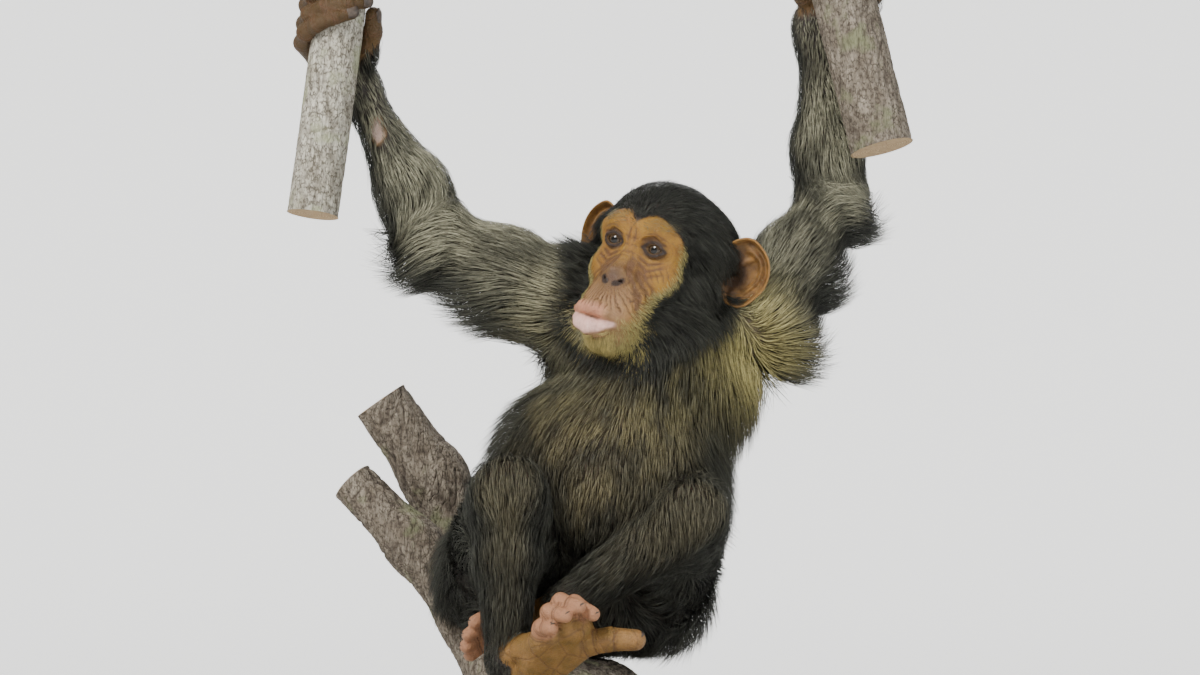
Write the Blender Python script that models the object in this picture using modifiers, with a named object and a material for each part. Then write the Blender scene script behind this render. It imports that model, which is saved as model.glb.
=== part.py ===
"""A young chimpanzee at life size, as a still museum model.

It sits in the fork of a tree stem with both arms raised, each hand round a cut length
of trunk, and its face turned to its own right.  Metres, +Z up.  The origin is the centre
of the stand's underside.  The animal faces -Y, so its right side is at -X.

The flesh is described by round forms (eggs and limbs) that run smoothly into each other.
Each group of forms is skinned once, parted with thin cuts at the joints, and carries its
long coat as flat, tapered locks.
"""

import math

import bmesh
import bpy
import numpy as np
from mathutils import Euler, Matrix, Vector

MM = 0.001
GAP = 0.3 * MM  # what touching solids keep between them

# ---------------------------------------------------------------- the pose, in metres
PELVIS = Vector((-0.002, 0.055, 0.290))
BELLY = Vector((0.018, 0.014, 0.375))
CHEST = Vector((0.058, 0.030, 0.468))
UPPER_BACK = Vector((0.062, 0.054, 0.482))
NECK = (Vector((0.070, 0.040, 0.500)), Vector((0.074, 0.020, 0.556)))
HEAD = Vector((0.0675, 0.000, 0.588))
LEAN, TORSO_YAW = 16.0, -15.0  # degrees: the body leans and turns as one
HEAD_ROLL, HEAD_YAW, HEAD_PITCH = 20.0, -26.0, 14.0

SHOULDER = {"right": Vector((-0.014, 0.032, 0.537)), "left": Vector((0.156, 0.036, 0.520))}
ELBOW = {"right": Vector((-0.145, 0.038, 0.607)), "left": Vector((0.230, 0.080, 0.646))}
WRIST = {"right": Vector((-0.219, 0.030, 0.745)), "left": Vector((0.213, 0.055, 0.803))}
HIP = {"right": Vector((-0.074, 0.045, 0.284)), "left": Vector((0.046, 0.045, 0.274))}
KNEE = {"right": Vector((-0.073, -0.066, 0.350)), "left": Vector((0.091, -0.058, 0.331))}
ANKLE = {"right": Vector((-0.074, -0.060, 0.206)), "left": Vector((-0.018, -0.044, 0.256))}

# ---------------------------------------------------------------- sizes of the flesh
CHEST_RADII = Vector((0.084, 0.064, 0.082))
BELLY_RADII = Vector((0.096, 0.078, 0.088))
PELVIS_RADII = Vector((0.076, 0.064, 0.062))
BACK_RADII = Vector((0.074, 0.048, 0.060))
NECK_RADIUS = 0.036
SHOULDER_RADIUS, ELBOW_RADIUS, WRIST_RADIUS = 0.034, 0.0205, 0.0135
HIP_RADIUS, KNEE_RADIUS, CALF_RADIUS, ANKLE_RADIUS = 0.053, 0.0265, 0.0245, 0.0145
EYE_RADIUS, EYE_APART, EYE_FORWARD, EYE_UP = 0.0102, 0.0425, 0.0460, -0.0050
EAR_HEIGHT, EAR_REACH, EAR_DEPTH = 0.066, 0.045, 0.015
EAR_SWEEP = 18  # degrees that each ear leans back

# The dense part of the coat that thickens a solid's core, and how far the locks stand out.
PELT = {"trunk": 6 * MM, "leg": 6 * MM, "head": 4 * MM}

# ---------------------------------------------------------------- trunks, fork and stand
TRUNK_RADIUS, BRANCH_RADIUS = 0.024, 0.030
TRUNK = (Vector((-0.2555, -0.010, 0.613)), Vector((-0.2225, -0.010, 0.887)))
BRANCH = (Vector((0.2720, 0.012, 0.680)), Vector((0.2090, 0.018, 0.945)))
STEM_RADIUS, STEM_BOTTOM, STEM_TOP = 0.070, 0.078, 0.178
STEM_CENTRE = Vector((-0.034, 0.014, 0.0))
BASE_SIZE, BASE_BEVEL = Vector((0.44, 0.34, 0.022)), 0.006
ROD_RADIUS, ROD_APART = 0.008, 0.076


def turn_of(roll, yaw, pitch):
    """The rotation of a body part: pitched, then yawed, then rolled, in degrees."""
    turns = [math.radians(angle) for angle in (roll, yaw, pitch)]
    return (
        Euler((0, turns[0], 0)).to_matrix()
        @ Euler((0, 0, turns[1])).to_matrix()
        @ Euler((turns[2], 0, 0)).to_matrix()
    )


TORSO_TURN = turn_of(LEAN, TORSO_YAW, 0)
HEAD_TURN = turn_of(HEAD_ROLL, HEAD_YAW, HEAD_PITCH)


def on_head(lateral, forward, up):
    """A point of the head, in millimetres to the animal's left, forward and up."""
    return HEAD + HEAD_TURN @ (Vector((lateral, -forward, up)) * MM)


# ---------------------------------------------------------------- round forms
class Egg:
    """An ellipsoid: a centre, three radii and a turn."""

    def __init__(self, centre, radii, turn=None):
        self.centre, self.radii = Vector(centre), Vector(radii)
        self.turn = turn or Matrix.Identity(3)

    def distance(self, points):
        local = (points - np.array(self.centre)) @ np.array(self.turn)
        radii = np.array(self.radii)
        reach = np.linalg.norm(local / radii, axis=1)
        slope = np.linalg.norm(local / radii**2, axis=1)
        return reach * (reach - 1) / np.maximum(slope, 1e-9)

    def add_to(self, shape):
        place = Matrix.Translation(self.centre) @ self.turn.to_4x4() @ Matrix.Diagonal((*self.radii, 1))
        bmesh.ops.create_uvsphere(shape, u_segments=24, v_segments=16, radius=1, matrix=place)


class Limb:
    """A round rod from one point to another, whose radius changes evenly."""

    def __init__(self, start, end, start_radius, end_radius):
        self.start, self.end = Vector(start), Vector(end)
        self.radii = (start_radius, end_radius)

    def distance(self, points):
        along = np.array(self.end - self.start)
        local = points - np.array(self.start)
        share = np.clip(local @ along / max(along @ along, 1e-12), 0, 1)
        radius = self.radii[0] + share * (self.radii[1] - self.radii[0])
        return np.linalg.norm(local - share[:, None] * along, axis=1) - radius

    def add_to(self, shape):
        corners = []
        for centre, radius in zip((self.start, self.end), self.radii):
            place = Matrix.Translation(centre)
            made = bmesh.ops.create_uvsphere(
                shape, u_segments=16, v_segments=10, radius=radius, matrix=place
            )
            corners += made["verts"]
        hull = bmesh.ops.convex_hull(shape, input=corners)
        inside = [e for e in hull["geom_interior"] if isinstance(e, bmesh.types.BMVert)]
        bmesh.ops.delete(shape, geom=inside, context="VERTS")


def chain(points, radii):
    """Limbs end to end through the points."""
    return [
        Limb(points[i], points[i + 1], radii[i], radii[i + 1]) for i in range(len(points) - 1)
    ]


def smooth_min(first, second, reach):
    """The smaller of two distances, rounded over where they are within reach of each other."""
    near = np.maximum(reach - np.abs(first - second), 0) / reach
    return np.minimum(first, second) - near * near * reach / 4


class Flesh:
    """Forms that run into each other over blend, less the hollows, thickened by pelt."""

    def __init__(self, forms, blend, hollows=(), edge=1.5 * MM, pelt=0.0):
        self.forms, self.blend = forms, blend
        self.hollows, self.edge, self.pelt = hollows, edge, pelt

    def distance(self, points):
        total = self.forms[0].distance(points)
        for form in self.forms[1:]:
            total = smooth_min(total, form.distance(points), self.blend)
        total = total - self.pelt_at(points)
        for hollow in self.hollows:
            total = -smooth_min(-total, hollow.distance(points), self.edge)
        return total

    def pelt_at(self, points):
        return self.pelt(points) if callable(self.pelt) else self.pelt

    def slope(self, points):
        """The outward direction at each point."""
        step = 0.5 * MM
        parts = [
            self.distance(points + axis * step) - self.distance(points - axis * step)
            for axis in np.eye(3)
        ]
        slope = np.stack(parts, axis=1)
        return slope / np.maximum(np.linalg.norm(slope, axis=1, keepdims=True), 1e-12)


# ---------------------------------------------------------------- mesh tools
def new_object(name, mesh):
    made = bpy.data.objects.new(name, mesh)
    bpy.context.scene.collection.objects.link(made)
    return made


def object_of(name, shape):
    """A new object from a bmesh, which is freed."""
    mesh = bpy.data.meshes.new(name)
    shape.to_mesh(mesh)
    shape.free()
    return new_object(name, mesh)


def settled(obj):
    """Replaces an object's mesh by its evaluated one, and drops its modifiers."""
    bpy.context.view_layer.update()
    graph = bpy.context.evaluated_depsgraph_get()
    mesh = bpy.data.meshes.new_from_object(obj.evaluated_get(graph))
    obj.modifiers.clear()
    obj.data = mesh
    return obj


def points_of(mesh):
    points = np.empty(len(mesh.vertices) * 3, np.float32)
    mesh.vertices.foreach_get("co", points)
    return points.reshape(-1, 3).astype(float)


def relaxed(points, edges):
    """Each point moved to the mean of its neighbours."""
    total, count = np.zeros_like(points), np.zeros(len(points))
    for one, other in ((0, 1), (1, 0)):
        np.add.at(total, edges[:, one], points[edges[:, other]])
        np.add.at(count, edges[:, one], 1)
    return total / np.maximum(count, 1)[:, None]


def skinned(name, flesh, voxel, triangles):
    """One closed mesh round the flesh, thinned to a number of triangles."""
    shape = bmesh.new()
    for form in flesh.forms:
        form.add_to(shape)
    obj = object_of(name, shape)
    remesh = obj.modifiers.new("Remesh", "REMESH")
    remesh.mode, remesh.voxel_size = "VOXEL", voxel
    settled(obj)
    points = points_of(obj.data)
    edges = np.empty(len(obj.data.edges) * 2, np.int32)
    obj.data.edges.foreach_get("vertices", edges)
    edges = edges.reshape(-1, 2)
    for share in (0.6, 0.5, 0.4, 0.25, 0.0):
        for _ in range(2):
            away = flesh.distance(points)
            points = points - flesh.slope(points) * np.clip(away, -3 * voxel, 3 * voxel)[:, None]
        points = points + share * (relaxed(points, edges) - points)
    away = flesh.distance(points)
    points = points - flesh.slope(points) * away[:, None]
    obj.data.vertices.foreach_set("co", points.astype(np.float32).ravel())
    obj.data.update()
    return thinned(obj, triangles)


def thinned(obj, triangles):
    decimate = obj.modifiers.new("Decimate", "DECIMATE")
    obj.data.calc_loop_triangles()
    decimate.ratio = min(1.0, triangles / len(obj.data.loop_triangles))
    decimate.use_collapse_triangulate = True
    return settled(obj)


def combined(obj, others, operation):
    """obj joined with, or cut by, the others, which are then removed."""
    group = bpy.data.collections.new("Operands")
    bpy.context.scene.collection.children.link(group)
    for other in others:
        for home in list(other.users_collection):
            home.objects.unlink(other)
        group.objects.link(other)
    boolean = obj.modifiers.new("Boolean", "BOOLEAN")
    boolean.operand_type, boolean.collection = "COLLECTION", group
    # EXACT leaves open edges here, where the thin tips of the locks are cut.
    boolean.operation, boolean.solver = operation, "MANIFOLD"
    settled(obj)
    for other in others:
        bpy.data.objects.remove(other)
    bpy.data.collections.remove(group)
    return obj


def grown_copy(obj, amount):
    """A copy whose surface lies that much further out."""
    copy = new_object(obj.name + "_copy", obj.data.copy())
    points = points_of(copy.data)
    normals = np.empty(len(points) * 3, np.float32)
    copy.data.vertex_normals.foreach_get("vector", normals)
    points = points + normals.reshape(-1, 3) * amount
    copy.data.vertices.foreach_set("co", points.astype(np.float32).ravel())
    copy.data.update()
    return copy


def clear_of(obj, others, gap):
    """obj cut back so that it meets each of the others face to face, across the gap."""
    cutters = [grown_copy(other, amount) for other in others for amount in (0.0, gap)]
    return combined(obj, cutters, "DIFFERENCE")


def loose_parts(obj):
    """obj split into its separate closed bodies."""
    bpy.ops.object.select_all(action="DESELECT")
    obj.select_set(True)
    bpy.context.view_layer.objects.active = obj
    before = set(bpy.data.objects)
    bpy.ops.object.mode_set(mode="EDIT")
    bpy.ops.mesh.select_all(action="SELECT")
    bpy.ops.mesh.separate(type="LOOSE")
    bpy.ops.object.mode_set(mode="OBJECT")
    return [obj] + [made for made in bpy.data.objects if made not in before]


def volume_of(obj):
    shape = bmesh.new()
    shape.from_mesh(obj.data)
    volume = shape.calc_volume()
    shape.free()
    return volume


def largest_only(obj):
    """Keeps the largest closed surface, which fills sealed hollows and drops loose scraps."""
    name = obj.name
    parts = sorted(loose_parts(obj), key=volume_of)
    for scrap in parts[:-1]:
        bpy.data.objects.remove(scrap)
    parts[-1].name = name
    return parts[-1]


def disc(centre, axis, radius):
    """A thin round cutter across a limb."""
    shape = bmesh.new()
    place = Matrix.Translation(centre) @ axis.to_track_quat("Z", "Y").to_matrix().to_4x4()
    bmesh.ops.create_cone(
        shape, cap_ends=True, segments=32, radius1=radius, radius2=radius, depth=2 * GAP, matrix=place
    )
    return object_of("disc", shape)


def parted(obj, cuts, names):
    """obj cut by thin discs into bodies, each named after the named point nearest its middle."""
    combined(obj, [disc(*cut) for cut in cuts], "DIFFERENCE")
    nodes = {}
    for part in sorted(loose_parts(obj), key=volume_of, reverse=True):
        middle = Vector(points_of(part.data).mean(axis=0))
        nearest = min(names, key=lambda name: (middle - names[name]).length)
        if nearest in nodes or nearest.startswith("scrap"):
            bpy.data.objects.remove(part)
        else:
            nodes[nearest] = part
    return nodes


def between(first, second, share):
    return first.lerp(second, share)


# ---------------------------------------------------------------- trunk and arms
def arm_forms(side):
    shoulder, elbow, wrist = SHOULDER[side], ELBOW[side], WRIST[side]
    upper = chain(
        [shoulder, between(shoulder, elbow, 0.45), elbow],
        [SHOULDER_RADIUS, 0.0270, ELBOW_RADIUS],
    )
    lower = chain(
        [elbow, between(elbow, wrist, 0.30), wrist],
        [ELBOW_RADIUS, 0.0225, WRIST_RADIUS],
    )
    return upper, lower


def torso_forms():
    chest_side = CHEST + Vector((0, 0.012, 0.012))
    return [
        Egg(CHEST, CHEST_RADII, TORSO_TURN),
        Egg(BELLY, BELLY_RADII, TORSO_TURN),
        Egg(UPPER_BACK, BACK_RADII, TORSO_TURN),
        Egg(PELVIS, PELVIS_RADII, TORSO_TURN),
        Limb(HIP["right"], HIP["left"], HIP_RADIUS, HIP_RADIUS),
        Limb(chest_side, SHOULDER["right"], 0.046, SHOULDER_RADIUS),
        Limb(chest_side, SHOULDER["left"], 0.046, SHOULDER_RADIUS),
    ]


def neck_forms():
    return [Limb(*NECK, NECK_RADIUS, NECK_RADIUS)]


def arm_direction(side):
    return (ELBOW[side] - SHOULDER[side]).normalized()


def elbow_direction(side):
    upper = arm_direction(side)
    return (upper + (WRIST[side] - ELBOW[side]).normalized()).normalized()


def trunk_cuts():
    cuts = []
    for side in ("right", "left"):
        reach = (WRIST[side] - ELBOW[side]).normalized()
        top = between(SHOULDER[side], ELBOW[side], 0.12)
        cuts.append((top, arm_direction(side), 0.062))
        cuts.append((ELBOW[side], elbow_direction(side), 0.045))
        cuts.append((WRIST[side] - reach * 0.006, reach, 0.035))
    return cuts


def neck_flesh():
    return Flesh(neck_forms(), 0.010, pelt=PELT["trunk"])


def make_neck():
    """The short neck, between the raised shoulders."""
    return skinned("neck", neck_flesh(), 3.4 * MM, 120)


def make_trunk_and_arms():
    """Torso, upper arms and forearms, skinned whole and parted at the joints."""
    names = {"torso": between(BELLY, CHEST, 0.4)}
    for side in ("right", "left"):
        names["upper_arm_" + side] = between(SHOULDER[side], ELBOW[side], 0.6)
        names["forearm_" + side] = between(ELBOW[side], WRIST[side], 0.5)
        names["scrap_" + side] = past_wrist(side)
    return parted(skinned("trunk", trunk_flesh(), 3.4 * MM, 1750), trunk_cuts(), names)


def past_wrist(side):
    return WRIST[side] + (WRIST[side] - ELBOW[side]).normalized() * 0.012


def trunk_flesh():
    forms = torso_forms()
    for side in ("right", "left"):
        upper, lower = arm_forms(side)
        forms += upper + lower + [Limb(WRIST[side], past_wrist(side), WRIST_RADIUS, WRIST_RADIUS)]
    return Flesh(forms, 0.030, pelt=trunk_pelt)


def taper_along(points, start, end, from_share, reach):
    """0 up to a share of the way from start to end, then up to 1 at the end, near that line."""
    start, end = np.array(start), np.array(end)
    along = (points - start) @ (end - start) / ((end - start) @ (end - start))
    nearest = start + np.clip(along, 0, 1)[:, None] * (end - start)
    beside = np.linalg.norm(points - nearest, axis=1)
    return np.clip((along - from_share) / (1 - from_share), 0, 1) * (beside < reach)


def trunk_pelt(points):
    """The dense coat's depth, down to nothing at the wrists."""
    pelt = np.full(len(points), PELT["trunk"])
    for side in ("right", "left"):
        pelt = pelt * (1 - taper_along(points, ELBOW[side], WRIST[side], 0.45, 0.07))
    return pelt


# ---------------------------------------------------------------- legs
def thigh_forms(side):
    middle = between(HIP[side], KNEE[side], 0.5)
    return chain([HIP[side], middle, KNEE[side]], [HIP_RADIUS, 0.0415, KNEE_RADIUS])


def shin_forms(side):
    knee, ankle = KNEE[side], ANKLE[side]
    calf = between(knee, ankle, 0.36) + Vector((0, 0.004, 0))
    return chain([knee, calf, ankle], [KNEE_RADIUS, CALF_RADIUS, ANKLE_RADIUS])


def leg_pelt(side):
    return lambda points: PELT["leg"] * (1 - taper_along(points, KNEE[side], ANKLE[side], 0.6, 0.05))


def knee_cut(side):
    """The cut that halves the folded knee's angle, out to where thigh and calf press together."""
    thigh = (KNEE[side] - HIP[side]).normalized()
    shin = (ANKLE[side] - KNEE[side]).normalized()
    return (KNEE[side] + (shin - thigh).normalized() * 0.060, (thigh + shin).normalized(), 0.105)


def ankle_cut(side):
    shin = (ANKLE[side] - KNEE[side]).normalized()
    return (ANKLE[side] - shin * 0.004, shin, 0.034)


def past_ankle(side):
    return ANKLE[side] + (ANKLE[side] - KNEE[side]).normalized() * 0.010


def leg_flesh(side):
    forms = thigh_forms(side) + shin_forms(side)
    forms.append(Limb(ANKLE[side], past_ankle(side), ANKLE_RADIUS, ANKLE_RADIUS))
    return Flesh(forms, 0.010, pelt=leg_pelt(side))


def make_leg(side):
    names = {
        "thigh_" + side: between(HIP[side], KNEE[side], 0.3),
        "shin_" + side: between(KNEE[side], ANKLE[side], 0.5),
        "scrap_" + side: past_ankle(side),
    }
    leg = skinned("leg_" + side, leg_flesh(side), 3.0 * MM, 560)
    return parted(leg, [knee_cut(side), ankle_cut(side)], names)


# ---------------------------------------------------------------- hands round a trunk
class Grip:
    """Places round a trunk: an angle from the front towards the fingers' side, a distance
    from the trunk's axis, and a height."""

    def __init__(self, axis, trunk_radius, outward):
        self.axis, self.radius, self.outward = axis, trunk_radius, outward

    def at(self, angle, away, height):
        low, high = self.axis
        centre = low.lerp(high, (height - low.z) / (high.z - low.z))
        turn, reach = math.radians(angle), self.radius + away
        return centre + Vector((self.outward * math.sin(turn), -math.cos(turn), 0)) * reach


GRIP = {
    "right": Grip(TRUNK, TRUNK_RADIUS, -1),
    "left": Grip(BRANCH, BRANCH_RADIUS, 1),
}
FINGER_RADIUS, FINGER_TAPER = 0.0080, 0.82
KNUCKLE_ANGLE = 98.0
# For each finger from the little one up: height of knuckle and of tip above the wrist, and the
# angle its tip reaches round the trunk's front.
FINGERS = ((0.031, 0.052, -26.0), (0.049, 0.064, -50.0), (0.067, 0.080, -56.0), (0.084, 0.096, -44.0))


def ray_points(side, finger):
    """The knuckle, two joints and tip of a finger wound round the trunk."""
    grip, wrist = GRIP[side], WRIST[side].z
    knuckle, tip, reach = FINGERS[finger]
    scale = (TRUNK_RADIUS + FINGER_RADIUS) / (grip.radius + FINGER_RADIUS)
    points = []
    for share in (0.0, 0.28, 0.52, 0.76, 1.0):
        angle = KNUCKLE_ANGLE + share * (reach - KNUCKLE_ANGLE) * scale
        height = wrist + knuckle + share * (tip - knuckle)
        points.append(grip.at(angle, FINGER_RADIUS * 0.92, height))
    return points


def thumb_points(side):
    grip, wrist = GRIP[side], WRIST[side].z
    places = ((206, 11 * MM, 0.016), (238, 10 * MM, 0.028), (258, 9 * MM, 0.042), (274, 7.5 * MM, 0.056))
    return [grip.at(angle, away, wrist + height) for angle, away, height in places]


def hand_forms(side):
    grip, wrist = GRIP[side], WRIST[side]
    forms = [Limb(wrist - (wrist - ELBOW[side]).normalized() * 0.014, wrist, WRIST_RADIUS, WRIST_RADIUS)]
    heel = grip.at(200, 12 * MM, wrist.z + 0.018)
    forms.append(Limb(wrist, heel, WRIST_RADIUS, 0.0155))
    for finger in range(4):
        points = ray_points(side, finger)
        root = grip.at(196, 11 * MM, wrist.z + 0.014 + 0.008 * finger)
        middle = grip.at(146, 10.5 * MM, wrist.z + 0.024 + 0.0125 * finger)
        forms += chain([root, middle, points[0]], [0.0120, 0.0105, 0.0092])
        radii = [FINGER_RADIUS * (1 - (1 - FINGER_TAPER) * share) for share in (0, 0.3, 0.5, 0.8, 1)]
        forms += chain(points, radii)
    forms += chain([heel] + thumb_points(side), [0.0140, 0.0120, 0.0098, 0.0088, 0.0075])
    return forms


def hand_flesh(side):
    return Flesh(hand_forms(side), 3.2 * MM)


def make_hand(side):
    """A hand closed round a trunk."""
    return skinned("hand_" + side, hand_flesh(side), 1.7 * MM, 430)


# ---------------------------------------------------------------- feet
HEEL = {"right": Vector((-0.060, -0.052, 0.174)), "left": Vector((-0.010, -0.012, 0.226))}
# Toes from the little one to the second: base, knuckle and tip of each, then the big toe.
TOES = {
    "right": (
        ((-0.0450, -0.100, 0.2155), (-0.0422, -0.112, 0.2281), (-0.0336, -0.124, 0.2271)),
        ((-0.0339, -0.103, 0.2202), (-0.0352, -0.118, 0.2412), (-0.0210, -0.132, 0.2375)),
        ((-0.0196, -0.104, 0.2247), (-0.0254, -0.118, 0.2504), (-0.0094, -0.130, 0.2451)),
        ((-0.0081, -0.102, 0.2269), (-0.0133, -0.110, 0.2492), (0.0029, -0.120, 0.2394)),
    ),
    "left": (
        ((-0.0800, -0.004, 0.2150), (-0.0950, -0.006, 0.2200), (-0.1080, -0.012, 0.2090)),
        ((-0.0790, -0.010, 0.2230), (-0.0960, -0.014, 0.2280), (-0.1110, -0.020, 0.2160)),
        ((-0.0760, -0.014, 0.2310), (-0.0930, -0.019, 0.2370), (-0.1090, -0.026, 0.2260)),
        ((-0.0710, -0.016, 0.2390), (-0.0870, -0.022, 0.2460), (-0.1030, -0.030, 0.2370)),
    ),
}
BIG_TOE = {
    "right": ((-0.0060, -0.090, 0.2150), (0.0190, -0.098, 0.2185), (0.0400, -0.097, 0.2180)),
    "left": ((-0.0500, -0.020, 0.2420), (-0.0600, -0.034, 0.2460), (-0.0760, -0.044, 0.2420)),
}
TOE_RADIUS, BIG_TOE_RADIUS, HEEL_RADIUS = 0.0075, 0.0105, 0.0150


def foot_forms(side):
    ankle, heel = ANKLE[side], HEEL[side]
    shin_way = (ankle - KNEE[side]).normalized()
    forms = [Limb(ankle - shin_way * 0.012, ankle, ANKLE_RADIUS, ANKLE_RADIUS)]
    forms.append(Limb(ankle, heel, ANKLE_RADIUS, HEEL_RADIUS))
    for base, knuckle, tip in TOES[side]:
        base, knuckle, tip = Vector(base), Vector(knuckle), Vector(tip)
        forms.append(Limb(heel, base, HEEL_RADIUS * 0.92, 0.0100))
        forms.append(Limb(ankle, base, ANKLE_RADIUS * 0.9, 0.0090))
        forms += chain([base, knuckle, tip], [0.0092, TOE_RADIUS, TOE_RADIUS * 0.86])
    base, middle, tip = (Vector(point) for point in BIG_TOE[side])
    forms.append(Limb(heel, base, HEEL_RADIUS * 0.92, 0.0125))
    forms += chain([base, middle, tip], [0.0125, BIG_TOE_RADIUS, BIG_TOE_RADIUS * 0.9])
    return forms


def foot_flesh(side):
    return Flesh(foot_forms(side), 3.4 * MM)


def make_foot(side):
    return skinned("foot_" + side, foot_flesh(side), 1.8 * MM, 460)


# ---------------------------------------------------------------- head
def arc_on_head(points, radii):
    return chain([on_head(*point) for point in points], [radius * MM for radius in radii])


def head_egg(centre, radii):
    return Egg(on_head(*centre), Vector(radii) * MM, HEAD_TURN)


def both_sides(make):
    """The forms that make gives for the left (1) and for the right (-1)."""
    return make(1) + make(-1)


def skull_forms():
    forms = [head_egg((0, -4, 8), (51, 59, 46)), head_egg((0, 30, 0), (43, 27, 23))]
    # The long hair of the temples.
    return forms + both_sides(lambda s: [head_egg((29 * s, -19, 3), (32, 38, 33))])


def face_forms():
    forms = [
        head_egg((0, 34, -34), (40, 30, 34)),
        head_egg((0, 54, -60), (33, 27, 24)),
        head_egg((0, 62, -70), (30, 25, 19)),
        head_egg((0, 44, -84), (28, 28, 20)),
        head_egg((-1, 62, -91), (17, 17, 13)),
        head_egg((0, 66, -37), (14, 9, 8)),
    ]
    forms += both_sides(lambda s: [head_egg((27 * s, 37, -32), (17, 17, 20))])
    forms += both_sides(lambda s: arc_on_head([(42 * s, 2, -30), (24 * s, 36, -84)], [19, 17]))
    # The brow ridges, low on a young animal.
    forms += both_sides(
        lambda s: arc_on_head([(0, 50, 9), (20 * s, 52.5, 12.5), (36 * s, 41, 7)], [6, 6.2, 6])
    )
    # The bridge of the nose, and the upper jaw down to the base of the lip.
    forms += arc_on_head([(0, 48, -4), (0, 58, -24)], [7, 9])
    forms += arc_on_head([(0, 58, -46), (0, 78, -63)], [18, 15])
    return forms


# The lips pout forward, and a little more to the right.
UPPER_LIP = ((-25, 83, -72), (-15, 92, -68), (-4, 96, -66), (7, 91, -69), (16, 82, -73))
LOWER_LIP = ((-25, 81, -81), (-15, 90, -84), (-4, 93, -86), (6, 87, -83.5), (14, 79, -79))
MOUTH_LINE = ((-27, 87, -76), (-15, 99, -75), (-3, 107, -74), (7, 98, -75), (19, 84, -76))


def lip_forms():
    return arc_on_head(UPPER_LIP, (4.2, 6.4, 7.4, 6.0, 4.0)) + arc_on_head(
        LOWER_LIP, (4.2, 7.4, 8.6, 6.8, 3.6)
    )


def lid_forms():
    """Rims of the upper and lower lids, round the front of each eyeball."""

    def lids(s):
        centre, made = EYE_APART / 2 / MM * s, []
        for lift, radius in ((6.4, 2.5), (-5.6, 2.1)):
            points = []
            for share in (-1, -0.5, 0, 0.5, 1):
                side = 9.6 * share
                up = lift * (1 - share * share)
                depth = math.sqrt(max(0.0, 11.2**2 - side**2 - up**2))
                points.append((centre + side, EYE_FORWARD / MM + depth, EYE_UP / MM + up))
            made += arc_on_head(points, [radius * 0.8, radius, radius, radius, radius * 0.8])
        return made

    return both_sides(lids)


def head_hollows():
    """The eye sockets, the nostrils and the line of the mouth."""
    hollows = both_sides(
        lambda s: [head_egg((EYE_APART / 2 / MM * s, 62, EYE_UP / MM), (12.5, 10.5, 9.0))]
    )
    hollows += both_sides(
        lambda s: arc_on_head([(6.5 * s, 78, -42), (5.2 * s, 70, -39)], [2.8, 2.2])
    )
    hollows += arc_on_head(MOUTH_LINE, (0.9, 1.5, 2.0, 1.5, 0.9))
    return hollows


class Face(Flesh):
    """The head: skull and face blend widely, then the sockets are pressed in and the lids and
    lips laid on, before the mouth and the nostrils open."""

    def __init__(self, pelt):
        self.skull = Flesh(skull_forms(), 0.016, pelt=pelt)
        self.face = Flesh(face_forms(), 0.014)
        self.details = Flesh(lid_forms() + lip_forms(), 2.5 * MM)
        self.holes = head_hollows()
        self.forms = self.skull.forms + self.face.forms + self.details.forms

    def distance(self, points):
        total = smooth_min(self.skull.distance(points), self.face.distance(points), 0.010)
        for socket in self.holes[:2]:
            total = -smooth_min(-total, socket.distance(points), 5 * MM)
        total = smooth_min(total, self.details.distance(points), 3 * MM)
        for hole in self.holes[2:]:
            total = -smooth_min(-total, hole.distance(points), 1.2 * MM)
        return total


def in_head(points):
    """Points as millimetres to the head's left, forward and up."""
    local = (points - np.array(HEAD)) @ np.array(HEAD_TURN) / MM
    return local * np.array((1, -1, 1))


def face_share(points):
    """1 on the bare face, 0 where the head's coat grows."""
    lateral, forward, up = in_head(points).T
    rim = np.where(up > -10, 34 + 0.010 * lateral**2, 22 + 0.014 * lateral**2)
    bare = np.clip((forward - rim) / 8, 0, 1)
    return bare * np.clip((24 - up) / 6, 0, 1)


def head_pelt(points):
    return PELT["head"] * (1 - face_share(points))


def make_head():
    head = skinned("head", Face(head_pelt), 1.7 * MM, 1800)
    eyes = [make_eye(side) for side in ("right", "left")]
    return largest_only(clear_of(head, eyes, GAP)), eyes


def make_eye(side):
    """An eyeball, with the clear bulge of its cornea."""
    s = 1 if side == "left" else -1
    centre = on_head(EYE_APART / 2 / MM * s, EYE_FORWARD / MM, EYE_UP / MM)
    shape = bmesh.new()
    place = Matrix.Translation(centre) @ (HEAD_TURN @ Euler((math.pi / 2, 0, 0)).to_matrix()).to_4x4()
    bmesh.ops.create_uvsphere(shape, u_segments=10, v_segments=6, radius=EYE_RADIUS, matrix=place)
    return object_of("eye_" + side, shape)


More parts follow.
